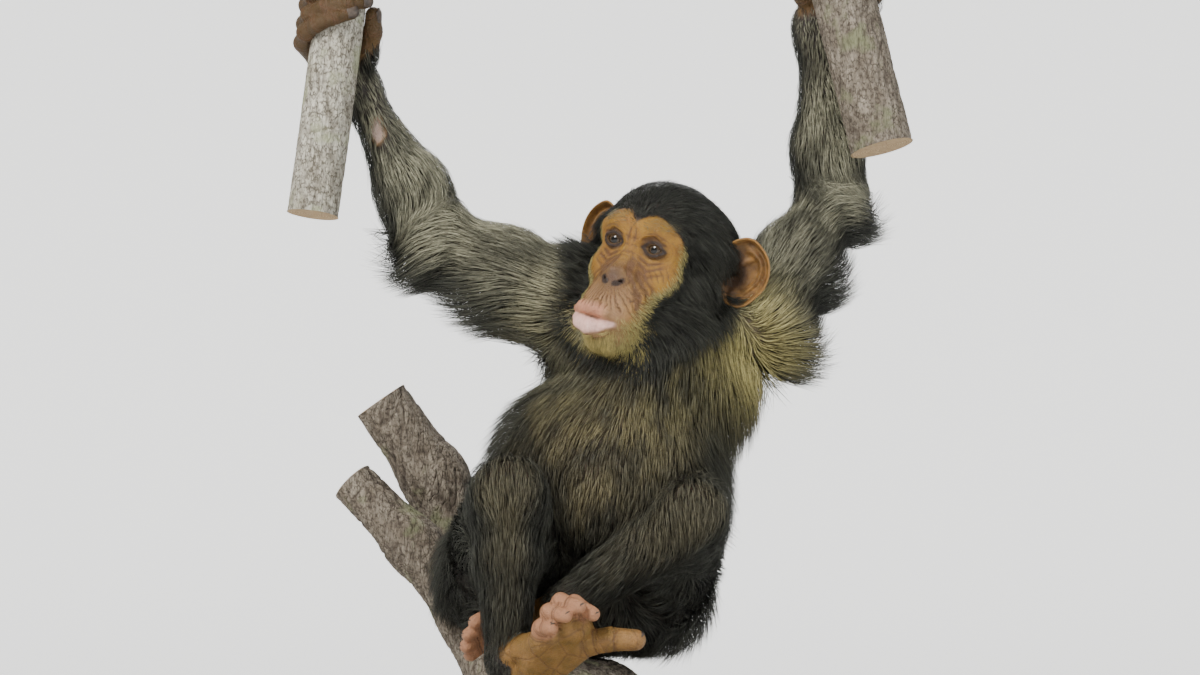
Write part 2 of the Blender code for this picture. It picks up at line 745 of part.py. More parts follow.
class Ear(Flesh):
    """A broad cup: a thin rounded plate with a rolled rim, hollow towards the front."""

    def __init__(self, side):
        s = 1 if side == "left" else -1
        root = (56 * s, -16, -9)
        flare = Euler((0, 0, math.radians(EAR_SWEEP * s))).to_matrix()
        self.turn = HEAD_TURN @ flare
        self.centre = on_head(*root) + self.turn @ Vector((s * EAR_REACH * 0.46, 0, 0))
        half, tall = EAR_REACH * 0.56, EAR_HEIGHT / 2
        bowl = Vector((half, EAR_DEPTH, tall))
        self.outer = Egg(self.centre, bowl, self.turn)
        inner_at = self.centre + self.turn @ Vector((0, -0.0055, 0))
        inner = Vector((half - 2.6 * MM, EAR_DEPTH - 1.0 * MM, tall - 2.6 * MM))
        self.inner = Egg(inner_at, inner, self.turn)
        rim = []
        for step in range(25):
            angle = math.radians(-150 + 300 * step / 24)
            place = Vector((s * half * math.cos(angle), -0.003, tall * math.sin(angle)))
            rim.append(self.centre + self.turn @ (place * 0.95))
        tragus_at = self.centre + self.turn @ Vector((-s * half * 0.62, -0.004, -0.006))
        tragus = Egg(tragus_at, Vector((5, 4, 8)) * MM, self.turn)
        self.rim = chain(rim, [2.6 * MM] * 25)
        self.extra = Flesh(self.rim + [tragus], 2 * MM)
        self.forms = [self.outer] + self.rim + [tragus]

    def distance(self, points):
        bowl = -smooth_min(-self.outer.distance(points), self.inner.distance(points), 1.5 * MM)
        front = (points - np.array(self.centre)) @ np.array(self.turn)
        bowl = np.maximum(bowl, -front[:, 1] - 0.003)
        return smooth_min(bowl, self.extra.distance(points), 3 * MM)


def make_ear(side):
    return skinned("ear_" + side, Ear(side), 1.3 * MM, 190)


# ---------------------------------------------------------------- perches and stand
def rough_rod(name, axis, radius, seed, sides=14, rings=5):
    """A cut length of trunk: a slightly uneven rod with flat sawn ends."""
    chance = np.random.default_rng(seed)
    phase = chance.uniform(0, 2 * math.pi, 3)
    low, high = axis
    turn = (high - low).to_track_quat("Z", "Y").to_matrix()
    shape = bmesh.new()
    loops = []
    for ring in range(rings):
        share = ring / (rings - 1)
        loop = []
        for side in range(sides):
            angle = 2 * math.pi * side / sides
            swell = 1 + 0.020 * math.sin(2 * angle + phase[0])
            swell += 0.015 * math.sin(3 * angle + 6 * share + phase[1])
            swell += 0.015 * math.sin(9 * share + phase[2])
            out = Vector((math.cos(angle), math.sin(angle), 0)) * (radius * swell)
            loop.append(shape.verts.new(low.lerp(high, share) + turn @ out))
        loops.append(loop)
    for lower, upper in zip(loops, loops[1:]):
        for side in range(sides):
            after = (side + 1) % sides
            shape.faces.new((lower[side], lower[after], upper[after], upper[side]))
    shape.faces.new(list(reversed(loops[0])))
    shape.faces.new(loops[-1])
    return object_of(name, shape)


FORK_LIMBS = (
    # The limb that rises behind the animal's right hip, and the lower one beside it.
    ((-0.052, 0.070, 0.150), (-0.100, 0.150, 0.275), (-0.150, 0.150, 0.385), (-0.204, 0.140, 0.462)),
    ((-0.056, 0.040, 0.140), (-0.112, 0.082, 0.246), (-0.166, 0.096, 0.316), (-0.228, 0.106, 0.380)),
)
FORK_LIMB_RADII = ((0.046, 0.031, 0.029, 0.0275), (0.040, 0.026, 0.0235, 0.022))


def fork_forms():
    low = STEM_CENTRE + Vector((0, 0, STEM_BOTTOM - 0.02))
    high = STEM_CENTRE + Vector((0, 0.004, STEM_TOP - 0.040))
    forms = [Limb(low, high, STEM_RADIUS, STEM_RADIUS)]
    seat = Vector((0.004, 0.062, 0.152))
    forms.append(Limb(high, seat, STEM_RADIUS - 0.010, 0.058))
    for points, radii in zip(FORK_LIMBS, FORK_LIMB_RADII):
        forms += chain([Vector(point) for point in points], radii)
    return forms


def slab(name, centre, axis, size, depth):
    """A box whose near face stands at centre and which reaches along axis."""
    shape = bmesh.new()
    turn = axis.to_track_quat("Z", "Y").to_matrix().to_4x4()
    place = Matrix.Translation(centre + axis * (depth / 2)) @ turn @ Matrix.Diagonal((size, size, depth, 1))
    bmesh.ops.create_cube(shape, size=1, matrix=place)
    return object_of(name, shape)


def fork_flesh():
    return Flesh(fork_forms(), 0.022)


def make_fork():
    """The fork that it sits in: a short stem, sawn flat below, with two sawn limbs."""
    fork = skinned("perch_fork", fork_flesh(), 4.0 * MM, 360)
    saws = [slab("saw", Vector((STEM_CENTRE.x, STEM_CENTRE.y, STEM_BOTTOM)), Vector((0, 0, -1)), 0.4, 0.2)]
    for points in FORK_LIMBS:
        end, before = Vector(points[-1]), Vector(points[-2])
        way = (end - before).normalized()
        saws.append(slab("saw", end - way * 0.004, way, 0.10, 0.08))
    return largest_only(combined(fork, saws, "DIFFERENCE"))


def make_base():
    """The flat board of the stand."""
    shape = bmesh.new()
    place = Matrix.Translation((0, 0, BASE_SIZE.z / 2)) @ Matrix.Diagonal((*BASE_SIZE, 1))
    bmesh.ops.create_cube(shape, size=1, matrix=place)
    top = [edge for edge in shape.edges if max(v.co.z for v in edge.verts) > BASE_SIZE.z / 2]
    bmesh.ops.bevel(shape, geom=top, offset=BASE_BEVEL, segments=3, profile=0.5, affect="EDGES")
    return object_of("stand_base", shape)


def make_rod(name, x):
    shape = bmesh.new()
    bottom, top = BASE_SIZE.z + GAP, STEM_BOTTOM - GAP
    place = Matrix.Translation((x, STEM_CENTRE.y, (bottom + top) / 2))
    bmesh.ops.create_cone(
        shape, cap_ends=True, segments=14, radius1=ROD_RADIUS, radius2=ROD_RADIUS,
        depth=top - bottom, matrix=place,
    )
    return object_of(name, shape)


# ---------------------------------------------------------------- locks of hair
ROOT_SINK = 5.5 * MM  # how deep a lock's root lies in the core
CANDIDATES = 4000  # places tried for the roots of one node's locks


class Coat:
    """How the locks of one node grow.

    lie gives the direction of the hair at each point, grows tells where there are locks, and
    reach gives their length. They rise from the core at lift degrees, sink towards the ground by
    droop, and stand off the core at their tips by stand. cling, from 0 to 1, is how closely they
    follow the core where it curves away from them."""

    def __init__(self, flesh, lie, grows, reach, spacing, width, depth, lift, droop, stand, cling, bends=3):
        self.flesh, self.lie, self.grows, self.reach = flesh, lie, grows, reach
        self.spacing, self.width, self.depth = spacing, width, depth
        self.lift, self.droop, self.stand = math.radians(lift), droop, stand
        self.cling, self.bends = cling, bends


def unit(vectors):
    return vectors / np.maximum(np.linalg.norm(vectors, axis=-1, keepdims=True), 1e-9)


def across(vectors, normals):
    """The part of each vector that lies in the surface, at length 1."""
    return unit(vectors - (vectors * normals).sum(axis=1, keepdims=True) * normals)


def lock_roots(obj, coat, chance):
    """Evenly spread places on an object's surface where its coat grows."""
    obj.data.calc_loop_triangles()
    corners = np.empty(len(obj.data.loop_triangles) * 3, np.int32)
    obj.data.loop_triangles.foreach_get("vertices", corners)
    first, second, third = (points_of(obj.data)[corners.reshape(-1, 3)[:, i]] for i in range(3))
    area = np.linalg.norm(np.cross(second - first, third - first), axis=1)
    pick = chance.choice(len(area), CANDIDATES, p=area / area.sum())
    right, up = chance.random((2, CANDIDATES, 1))
    outside = right + up > 1
    right, up = np.where(outside, 1 - right, right), np.where(outside, 1 - up, up)
    spots = first[pick] + right * (second - first)[pick] + up * (third - first)[pick]
    spots = spots[(np.abs(coat.flesh.distance(spots)) < 1.5 * MM) & coat.grows(spots)]
    kept = []
    for spot in spots:
        if all((spot - other) @ (spot - other) > coat.spacing**2 for other in kept):
            kept.append(spot)
    return np.array(kept)


def lock_spine(root, coat, reach, swing):
    """Points along a lock's middle, with the outward direction at each."""
    point = root[None, :]
    out = coat.flesh.slope(point)
    lie = across(coat.lie(point), out)
    heading = lie * math.cos(coat.lift) + out * math.sin(coat.lift) + np.cross(lie, out) * swing
    spine, outs = [point - out * ROOT_SINK], [out]
    step = reach / coat.bends
    for bend in range(1, coat.bends + 1):
        share = bend / coat.bends
        point = point + heading * step
        out = coat.flesh.slope(point)
        short = coat.stand * share - coat.flesh.distance(point)
        point = point + out * np.where(short > 0, short, coat.cling * short)[:, None]
        spine.append(point)
        outs.append(out)
        heading = unit(heading + np.array((0, 0, -coat.droop * step)) - out * 0.10)
    return np.concatenate(spine), np.concatenate(outs)


def lock_shares(bends):
    """A lock's width and depth along it, as shares of the widest."""
    return [0.80 + 0.20 * min(1, 3 * i / bends) - 0.62 * (i / bends) ** 2 for i in range(bends)]


def make_lock(spine, outs, width, depth):
    """A flat lock along a spine, with a low keel: widest near the root, drawn out to a tip."""
    along = unit(np.gradient(spine, axis=0))
    beside = unit(np.cross(along, outs))
    above = np.cross(beside, along)
    shape, rings = bmesh.new(), []
    for i, share in enumerate(lock_shares(len(spine) - 1)):
        corners = ((-0.5, -0.5), (0.5, -0.5), (0.0, 0.5))
        places = [
            spine[i] + beside[i] * (x * width * share) + above[i] * (y * depth * share)
            for x, y in corners
        ]
        rings.append([shape.verts.new(place) for place in places])
    tip = shape.verts.new(spine[-1])
    shape.faces.new(rings[0])
    for lower, upper in zip(rings, rings[1:]):
        for i in range(3):
            shape.faces.new((lower[i], upper[i], upper[(i + 1) % 3], lower[(i + 1) % 3]))
    for i in range(3):
        shape.faces.new((rings[-1][i], tip, rings[-1][(i + 1) % 3]))
    bmesh.ops.recalc_face_normals(shape, faces=shape.faces)
    bmesh.ops.triangulate(shape, faces=shape.faces)
    return object_of("lock", shape)


def clear_of_flesh(spine, outs, width, others):
    """Whether a lock keeps clear of the other nodes' flesh, beyond its root."""
    beside = unit(np.cross(np.gradient(spine, axis=0), outs))[1:]
    ribs = np.concatenate([spine[1:], spine[1:] + beside * width * 0.4, spine[1:] - beside * width * 0.4])
    return all(other.distance(ribs).min() > 2.5 * MM for other in others)


def grow_locks(node, coat, others, taken, seed):
    """Joins a node's locks to it. taken holds the places of the locks on the nodes before it."""
    chance = np.random.default_rng(seed)
    locks, mine = [], []
    for root in lock_roots(node, coat, chance):
        swing, size = chance.normal(0, 0.16), chance.uniform(0.85, 1.15)
        for share in (1.0, 0.75, 0.5):
            reach = coat.reach(root) * size * share
            spine, outs = lock_spine(root, coat, reach, swing)
            apart = [np.linalg.norm(taken - point, axis=1).min() for point in spine[1:]]
            if min(apart) > 0.45 * coat.width and clear_of_flesh(spine, outs, coat.width, others):
                locks.append(make_lock(spine, outs, coat.width * size, coat.depth))
                mine.append(spine)
                break
    if not locks:
        return node, taken
    node = largest_only(combined(node, locks, "UNION"))
    return node, np.concatenate([taken] + mine)


def limb_coat(flesh, start, end, from_share, to_share, reach, hang, **sizes):
    """Locks along a limb, whose underside carries longer ones that hang."""
    start, end = np.array(start), np.array(end)
    way = unit(end - start)

    def grows(points):
        along = (points - start) @ way / np.linalg.norm(end - start)
        return (along > from_share) & (along < to_share)

    def length(root):
        under = max(0.0, -flesh.slope(root[None, :])[0, 2])
        return reach + hang * under

    return Coat(flesh, lambda points: np.broadcast_to(way, points.shape), grows, length, **sizes)


def torso_coat(flesh):
    turn, middle = np.array(TORSO_TURN), np.array(CHEST)

    def lie(points):
        local = (points - middle) @ turn
        spread = np.stack([4 * local[:, 0], 0 * local[:, 1], -1 + 0 * local[:, 2]], axis=1)
        return spread @ turn.T

    def grows(points):
        local = (points - middle) @ turn
        facing = flesh.slope(points) @ turn
        belly = (facing[:, 1] < -0.45) & (local[:, 2] < 0.005)
        seat = points[:, 2] < 0.255
        return ~belly & ~seat

    return Coat(
        flesh, lie, grows, lambda root: 60 * MM, spacing=50 * MM, width=47 * MM,
        depth=7 * MM, lift=14, droop=2.0, stand=10 * MM, cling=0.8,
    )


def head_coat(flesh):
    brow, mouth = np.array(on_head(0, 62, 22)), np.array(on_head(0, 74, -66))

    def lie(points):
        low = np.clip((-30 - in_head(points)[:, 2:]) / 30, 0, 1)
        return (points - brow) * (1 - low) + (points - mouth) * low

    def grows(points):
        forward, up = in_head(points).T[1:]
        beard = (up < -88) & (forward < 78)
        return (face_share(points) < 0.02) & ((up > -70) | beard)

    return Coat(
        flesh, lie, grows, lambda root: 38 * MM, spacing=32 * MM, width=30 * MM,
        depth=5 * MM, lift=6, droop=0.0, stand=4 * MM, cling=0.9,
    )


def add_locks(nodes):
    """Locks on each hairy node in turn, clear of the nodes beside it."""
    trunk, head = trunk_flesh(), Face(head_pelt)
    fork, ears = fork_flesh(), [Ear(side) for side in ("right", "left")]
    legs = {side: leg_flesh(side) for side in ("right", "left")}
    feet = [foot_flesh(side) for side in ("right", "left")]
    perches = [Flesh([Limb(*TRUNK, TRUNK_RADIUS, TRUNK_RADIUS)], 1 * MM)]
    perches.append(Flesh([Limb(*BRANCH, BRANCH_RADIUS, BRANCH_RADIUS)], 1 * MM))
    arm = {"spacing": 36 * MM, "width": 33 * MM, "depth": 6 * MM}
    arm.update({"lift": 16, "droop": 6.0, "stand": 8 * MM, "cling": 0.3})
    leg = {"spacing": 38 * MM, "width": 36 * MM, "depth": 6 * MM}
    leg.update({"lift": 12, "droop": 0.0, "stand": 7 * MM, "cling": 0.8})
    neck = neck_flesh()
    plan = [("head", head_coat(head), [trunk, neck] + ears)]
    plan.append(("torso", torso_coat(trunk), [head, neck, fork, *legs.values(), *feet] + ears))
    for side in ("right", "left"):
        near = [head, *ears, *perches, hand_flesh(side)]
        shoulder, elbow, wrist = SHOULDER[side], ELBOW[side], WRIST[side]
        upper = limb_coat(trunk, shoulder, elbow, 0.05, 1.0, 38 * MM, 20 * MM, **arm)
        lower = limb_coat(trunk, wrist, elbow, 0.22, 1.0, 34 * MM, 20 * MM, **arm)
        plan += [("upper_arm_" + side, upper, near), ("forearm_" + side, lower, near)]
    for side, other in (("right", "left"), ("left", "right")):
        near = [trunk, fork, legs[other], *feet]
        hip, knee, ankle = HIP[side], KNEE[side], ANKLE[side]
        thigh = limb_coat(legs[side], hip, knee, 0.0, 1.0, 44 * MM, 6 * MM, **leg)
        shin = limb_coat(legs[side], knee, ankle, 0.05, 0.80, 40 * MM, 4 * MM, **leg)
        plan += [("thigh_" + side, thigh, near), ("shin_" + side, shin, near)]
    taken = np.full((1, 3), 9.0)
    for seed, (name, coat, others) in enumerate(plan):
        nodes[name], taken = grow_locks(nodes[name], coat, others, taken, seed)


# ---------------------------------------------------------------- assembling
def material_of(name, colour, roughness, metallic=0.0):
    material = bpy.data.materials.new(name)
    material.use_nodes = True
    shader = material.node_tree.nodes["Principled BSDF"]
    shader.inputs["Base Color"].default_value = (*colour, 1)
    shader.inputs["Roughness"].default_value = roughness
    shader.inputs["Metallic"].default_value = metallic
    return material


def build():
    for old in list(bpy.data.objects):
        bpy.data.objects.remove(old)
    nodes = make_trunk_and_arms()
    nodes["neck"] = make_neck()
    for side in ("right", "left"):
        nodes.update(make_leg(side))
        nodes["foot_" + side] = make_foot(side)
    trunk = rough_rod("perch_trunk", TRUNK, TRUNK_RADIUS, seed=3)
    branch = rough_rod("perch_branch", BRANCH, BRANCH_RADIUS, seed=8)
    fork = make_fork()
    nodes["perch_trunk"], nodes["perch_branch"], nodes["perch_fork"] = trunk, branch, fork
    nodes["hand_right"], nodes["hand_left"] = make_hand("right"), make_hand("left")
    nodes["head"], eyes = make_head()
    nodes["eye_right"], nodes["eye_left"] = eyes
    for side in ("right", "left"):
        nodes["ear_" + side] = make_ear(side)
    # The cores part first, and the locks that still press on a neighbour are trimmed after, with
    # a smaller gap, so that no face is cut twice.
    clear_neighbours(nodes, 1.6 * GAP)
    add_locks(nodes)
    clear_neighbours(nodes, GAP)
    nodes["stand_base"] = make_base()
    for name, x in (("stand_rod_right", -ROD_APART / 2), ("stand_rod_left", ROD_APART / 2)):
        nodes[name] = make_rod(name, STEM_CENTRE.x + x)
    finish(nodes)


# Each node gives way to those before it here, where the two press together.
ORDER = (
    "perch_fork", "perch_trunk", "perch_branch", "torso", "neck", "head", "ear_right", "ear_left",
    "upper_arm_right", "upper_arm_left", "forearm_right", "forearm_left",
    "thigh_right", "thigh_left", "shin_right", "shin_left", "foot_left", "foot_right",
    "hand_right", "hand_left",
)


def corners_of(obj):
    points = points_of(obj.data)
    return points.min(axis=0) - 2 * GAP, points.max(axis=0) + 2 * GAP


def clear_neighbours(nodes, gap):
    """Cuts each node back to the ones before it in ORDER whose boxes it meets."""
    for place, name in enumerate(ORDER):
        low, high = corners_of(nodes[name])
        masters = []
        for other in ORDER[:place]:
            other_low, other_high = corners_of(nodes[other])
            if (low < other_high).all() and (other_low < high).all():
                masters.append(nodes[other])
        if masters:
            nodes[name] = largest_only(clear_of(nodes[name], masters, gap))


def finish(nodes):
    """Names, materials and shading of the nodes, in one collection."""
    materials = {
        "coat": material_of("coat", (0.035, 0.028, 0.022), 0.75),
        "face": material_of("face", (0.55, 0.33, 0.20), 0.60),
        "palms": material_of("palms", (0.52, 0.30, 0.17), 0.60),
        "eye": material_of("eye", (0.06, 0.035, 0.02), 0.12),
        "bark": material_of("bark", (0.42, 0.38, 0.33), 0.90),
        "board": material_of("board", (0.10, 0.09, 0.085), 0.45),
        "steel": material_of("steel", (0.55, 0.55, 0.56), 0.30, 1.0),
    }
    kinds = (
        ("ear", "face"), ("eye", "eye"), ("hand", "palms"), ("foot", "palms"),
        ("perch", "bark"), ("stand_base", "board"), ("stand_rod", "steel"), ("", "coat"),
    )
    group = bpy.data.collections.new("Chimpanzee")
    bpy.context.scene.collection.children.link(group)
    for name, node in nodes.items():
        kind = next(material for start, material in kinds if name.startswith(start))
        node.name = node.data.name = name
        node.data.materials.clear()
        node.data.materials.append(materials[kind])
        for home in list(node.users_collection):
            home.objects.unlink(node)
        group.objects.link(node)
        for face in node.data.polygons:
            face.use_smooth = False


build()
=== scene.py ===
"""Looks of the young chimpanzee: one skin, a coat of fine tufts, eyes, nails, bark and stand.

The flesh is a field: round forms (eggs and limbs) that run into each other, with the same sizes
and places as the solids, less the depth of their coat. The skin is a mesh fitted to that field,
finer where it is bare. The tufts grow from the skin along the lie of the hair, and the field
keeps them outside it. Metres, +Z up; the animal faces -Y, so its right side is at -X.
"""

import math

import bmesh
import bpy
import numpy as np
from mathutils import Euler, Matrix, Vector, noise
from mathutils.bvhtree import BVHTree
from mathutils.kdtree import KDTree


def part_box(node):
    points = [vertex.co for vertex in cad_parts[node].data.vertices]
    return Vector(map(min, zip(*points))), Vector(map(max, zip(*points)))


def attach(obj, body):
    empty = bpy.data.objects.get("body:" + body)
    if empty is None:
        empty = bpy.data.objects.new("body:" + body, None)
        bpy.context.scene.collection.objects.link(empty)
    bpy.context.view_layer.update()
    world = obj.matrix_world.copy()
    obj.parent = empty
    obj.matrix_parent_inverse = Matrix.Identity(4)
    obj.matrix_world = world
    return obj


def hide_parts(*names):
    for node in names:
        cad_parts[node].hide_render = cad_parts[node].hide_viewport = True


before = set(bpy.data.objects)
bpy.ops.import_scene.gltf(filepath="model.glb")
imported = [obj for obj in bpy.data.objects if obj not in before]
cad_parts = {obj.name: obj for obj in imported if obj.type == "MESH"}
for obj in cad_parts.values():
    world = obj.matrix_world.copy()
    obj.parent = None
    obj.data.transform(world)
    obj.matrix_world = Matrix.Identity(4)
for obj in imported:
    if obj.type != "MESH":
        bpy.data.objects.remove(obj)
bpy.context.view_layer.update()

MM = 0.001
SEED = 11
noise.seed_set(SEED)  # the noise vectors would differ at each run without it
FAR = 1.0  # the field's value well away from a body part
NEAR = 9 * MM  # how far from the surface the field is needed

# ---------------------------------------------------------------- pose, as in the solids
PELVIS = Vector((-0.002, 0.055, 0.290))
BELLY = Vector((0.018, 0.014, 0.375))
CHEST = Vector((0.058, 0.030, 0.468))
UPPER_BACK = Vector((0.062, 0.054, 0.482))
NECK = (Vector((0.070, 0.040, 0.500)), Vector((0.074, 0.020, 0.556)))
HEAD = Vector((0.0675, 0.000, 0.588))
LEAN, TORSO_YAW = 16.0, -15.0
HEAD_ROLL, HEAD_YAW, HEAD_PITCH = 20.0, -26.0, 14.0
SIDES = ("right", "left")
SHOULDER = {"right": Vector((-0.014, 0.032, 0.537)), "left": Vector((0.156, 0.036, 0.520))}
ELBOW = {"right": Vector((-0.145, 0.038, 0.607)), "left": Vector((0.230, 0.080, 0.646))}
WRIST = {"right": Vector((-0.219, 0.030, 0.745)), "left": Vector((0.213, 0.055, 0.803))}
HIP = {"right": Vector((-0.074, 0.045, 0.284)), "left": Vector((0.046, 0.045, 0.274))}
KNEE = {"right": Vector((-0.073, -0.066, 0.350)), "left": Vector((0.091, -0.058, 0.331))}
ANKLE = {"right": Vector((-0.074, -0.060, 0.206)), "left": Vector((-0.018, -0.044, 0.256))}

# ---------------------------------------------------------------- sizes, as in the solids
CHEST_RADII = Vector((0.084, 0.064, 0.082))
BELLY_RADII = Vector((0.096, 0.078, 0.088))
PELVIS_RADII = Vector((0.076, 0.064, 0.062))
BACK_RADII = Vector((0.074, 0.048, 0.060))
NECK_RADIUS = 0.036
NAVEL = (0.003, 0.391)
SHOULDER_RADIUS, UPPER_ARM_RADIUS, ELBOW_RADIUS = 0.034, 0.0270, 0.0205
FOREARM_RADIUS, WRIST_RADIUS = 0.0225, 0.0135
CHEST_SIDE = Vector((0, 0.012, 0.012))  # from the chest's middle to where the shoulders start
CHEST_SIDE_RADIUS = 0.046
HIP_RADIUS, THIGH_RADIUS, KNEE_RADIUS = 0.053, 0.0415, 0.0265
CALF_RADIUS, ANKLE_RADIUS = 0.0245, 0.0145
EYE_RADIUS, EYE_APART, EYE_FORWARD, EYE_UP = 10.2, 42.5, 46.0, -5.0  # mm, on the head
EAR_HEIGHT, EAR_REACH = 0.066, 0.045
EAR_SWEEP = 18  # degrees that each ear leans back
TRUNK_RADIUS, BRANCH_RADIUS = 0.024, 0.030
TRUNK = (Vector((-0.2555, -0.010, 0.613)), Vector((-0.2225, -0.010, 0.887)))
BRANCH = (Vector((0.2720, 0.012, 0.680)), Vector((0.2090, 0.018, 0.945)))
STEM_RADIUS, STEM_BOTTOM, STEM_TOP = 0.070, 0.078, 0.178
STEM_CENTRE = Vector((-0.034, 0.014, 0.0))
ROD_RADIUS, ROD_APART = 0.008, 0.076

# ---------------------------------------------------------------- the camera
CAMERA_AT = Vector((0.0092, -2.9708, 0.0825))
CAMERA_RISE = 8.0  # degrees above the level
CAMERA_LENS = 97.8

# ---------------------------------------------------------------- mesh sizes and counts
SKIN_VOXEL = 3.4 * MM
BARK_VOXEL = 5.0 * MM
HEAD_TUFTS = 25000
BODY_TUFTS = 90000
FUZZ_TUFTS = HEAD_TUFTS // 4


def turn_of(roll, yaw, pitch):
    """The rotation of a body part: pitched, then yawed, then rolled, in degrees."""
    turns = [math.radians(angle) for angle in (roll, yaw, pitch)]
    return (
        Euler((0, turns[0], 0)).to_matrix()
        @ Euler((0, 0, turns[1])).to_matrix()
        @ Euler((turns[2], 0, 0)).to_matrix()
    )


TORSO_TURN = turn_of(LEAN, TORSO_YAW, 0)
HEAD_TURN = turn_of(HEAD_ROLL, HEAD_YAW, HEAD_PITCH)


def on_head(lateral, forward, up):
    """A point of the head, in millimetres to the animal's left, forward and up."""
    return HEAD + HEAD_TURN @ (Vector((lateral, -forward, up)) * MM)


def in_head(points):
    """Points as millimetres to the head's left, forward and up."""
    local = (points - np.array(HEAD)) @ np.array(HEAD_TURN) / MM
    return local * np.array((1, -1, 1))


# ---------------------------------------------------------------- small helpers
def unit(vectors):
    """Each vector at length 1."""
    return vectors / np.maximum(np.linalg.norm(vectors, axis=-1, keepdims=True), 1e-9)


def across(vectors, normals):
    """The part of each vector that lies in the surface, at length 1."""
    return unit(vectors - (vectors * normals).sum(axis=1, keepdims=True) * normals)


def ramp(values, low, high):
    """0 at low, 1 at high, smooth between."""
    share = np.clip((values - low) / (high - low), 0, 1)
    return share * share * (3 - 2 * share)


def wander(points, scale, seed=0.0):
    """Smooth noise from -1 to 1 at each point, for features of that scale in metres."""
    shift = Vector((seed, 2.3 * seed, -1.7 * seed))
    return np.array([noise.noise(Vector(point) / scale + shift) for point in points])


def wander_ways(points, scale, seed=0.0):
    """Smooth noise vectors at each point."""
    shift = Vector((seed, 2.3 * seed, -1.7 * seed))
    return np.array([noise.noise_vector(Vector(point) / scale + shift) for point in points])


def to_segment(points, start, end):
    """Distance of each point from a line's piece, and the share of the way along it."""
    start, along = np.array(start), np.array(end) - np.array(start)
    share = np.clip((points - start) @ along / (along @ along), 0, 1)
    return np.linalg.norm(points - start - share[:, None] * along, axis=1), share


# ---------------------------------------------------------------- round forms
class Egg:
    """An ellipsoid: a centre, three radii and a turn."""

    def __init__(self, centre, radii, turn=None):
        self.centre, self.radii = Vector(centre), Vector(radii)
        self.turn = turn or Matrix.Identity(3)

    def distance(self, points):
        local = (points - np.array(self.centre)) @ np.array(self.turn)
        radii = np.array(self.radii)
        reach = np.linalg.norm(local / radii, axis=1)
        slope = np.linalg.norm(local / radii**2, axis=1)
        return reach * (reach - 1) / np.maximum(slope, 1e-9)

    def add_to(self, shape):
        place = Matrix.Translation(self.centre) @ self.turn.to_4x4()
        place = place @ Matrix.Diagonal((*self.radii, 1))
        bmesh.ops.create_uvsphere(shape, u_segments=24, v_segments=16, radius=1, matrix=place)

    def corners(self):
        reach = max(self.radii)
        return [np.array(self.centre) - reach, np.array(self.centre) + reach]


class Limb:
    """A round rod from one point to another, whose radius changes evenly."""

    def __init__(self, start, end, start_radius, end_radius):
        self.start, self.end = Vector(start), Vector(end)
        self.radii = (start_radius, end_radius)

    def distance(self, points):
        away, share = to_segment(points, self.start, self.end)
        return away - (self.radii[0] + share * (self.radii[1] - self.radii[0]))

    def add_to(self, shape):
        corners = []
        for centre, radius in zip((self.start, self.end), self.radii):
            made = bmesh.ops.create_uvsphere(
                shape, u_segments=16, v_segments=10, radius=radius, matrix=Matrix.Translation(centre)
            )
            corners += made["verts"]
        hull = bmesh.ops.convex_hull(shape, input=corners)
        inside = [e for e in hull["geom_interior"] if isinstance(e, bmesh.types.BMVert)]
        bmesh.ops.delete(shape, geom=inside, context="VERTS")

    def corners(self):
        ends = np.array((self.start, self.end))
        return [ends.min(axis=0) - max(self.radii), ends.max(axis=0) + max(self.radii)]


def chain(points, radii):
    """Limbs end to end through the points."""
    return [
        Limb(points[i], points[i + 1], radii[i], radii[i + 1]) for i in range(len(points) - 1)
    ]


def smooth_min(first, second, reach):
    """The smaller of two distances, rounded over where they are within reach of each other."""
    near = np.maximum(reach - np.abs(first - second), 0) / reach
    return np.minimum(first, second) - near * near * reach / 4


def close_to(points, form, reach):
    """Which points are near enough to a form for it to matter to the field there."""
    low, high = form.corners()
    margin = reach + NEAR
    return np.flatnonzero(((points > low - margin) & (points < high + margin)).all(axis=1))


def join(total, points, form, reach):
    """Adds a form to the field's values, rounded over reach."""
    near = close_to(points, form, reach)
    total[near] = smooth_min(total[near], form.distance(points[near]), reach)


def carve(total, points, form, reach):
    """Takes a form out of the field's values, with an edge rounded over reach."""
    near = close_to(points, form, reach)
    total[near] = -smooth_min(-total[near], form.distance(points[near]), reach)


class Flesh:
    """Forms that run into each other over blend. soft is how widely it meets the other parts."""

    def __init__(self, forms, blend, soft=6 * MM):
        self.forms, self.blend, self.soft = forms, blend, soft

    def corners(self):
        ends = np.array([form.corners() for form in self.forms])
        return ends[:, 0].min(axis=0), ends[:, 1].max(axis=0)

    def distance(self, points):
        total = np.full(len(points), FAR)
        for form in self.forms:
            join(total, points, form, self.blend)
        return total


class Body(Flesh):
    """Several parts as one field."""

    def __init__(self, parts):
        super().__init__(parts, 0)

    def distance(self, points):
        total = np.full(len(points), FAR)
        for part in self.forms:
            join(total, points, part, part.soft)
        return total


# ---------------------------------------------------------------- forms of the body
def arm_forms(side):
    shoulder, elbow, wrist = SHOULDER[side], ELBOW[side], WRIST[side]
    past = wrist + (wrist - elbow).normalized() * 0.012
    upper = [shoulder, shoulder.lerp(elbow, 0.45), elbow]
    lower = [elbow, elbow.lerp(wrist, 0.30), wrist, past]
    return chain(upper, [SHOULDER_RADIUS, UPPER_ARM_RADIUS, ELBOW_RADIUS]) + chain(
        lower, [ELBOW_RADIUS, FOREARM_RADIUS, WRIST_RADIUS, WRIST_RADIUS]
    )


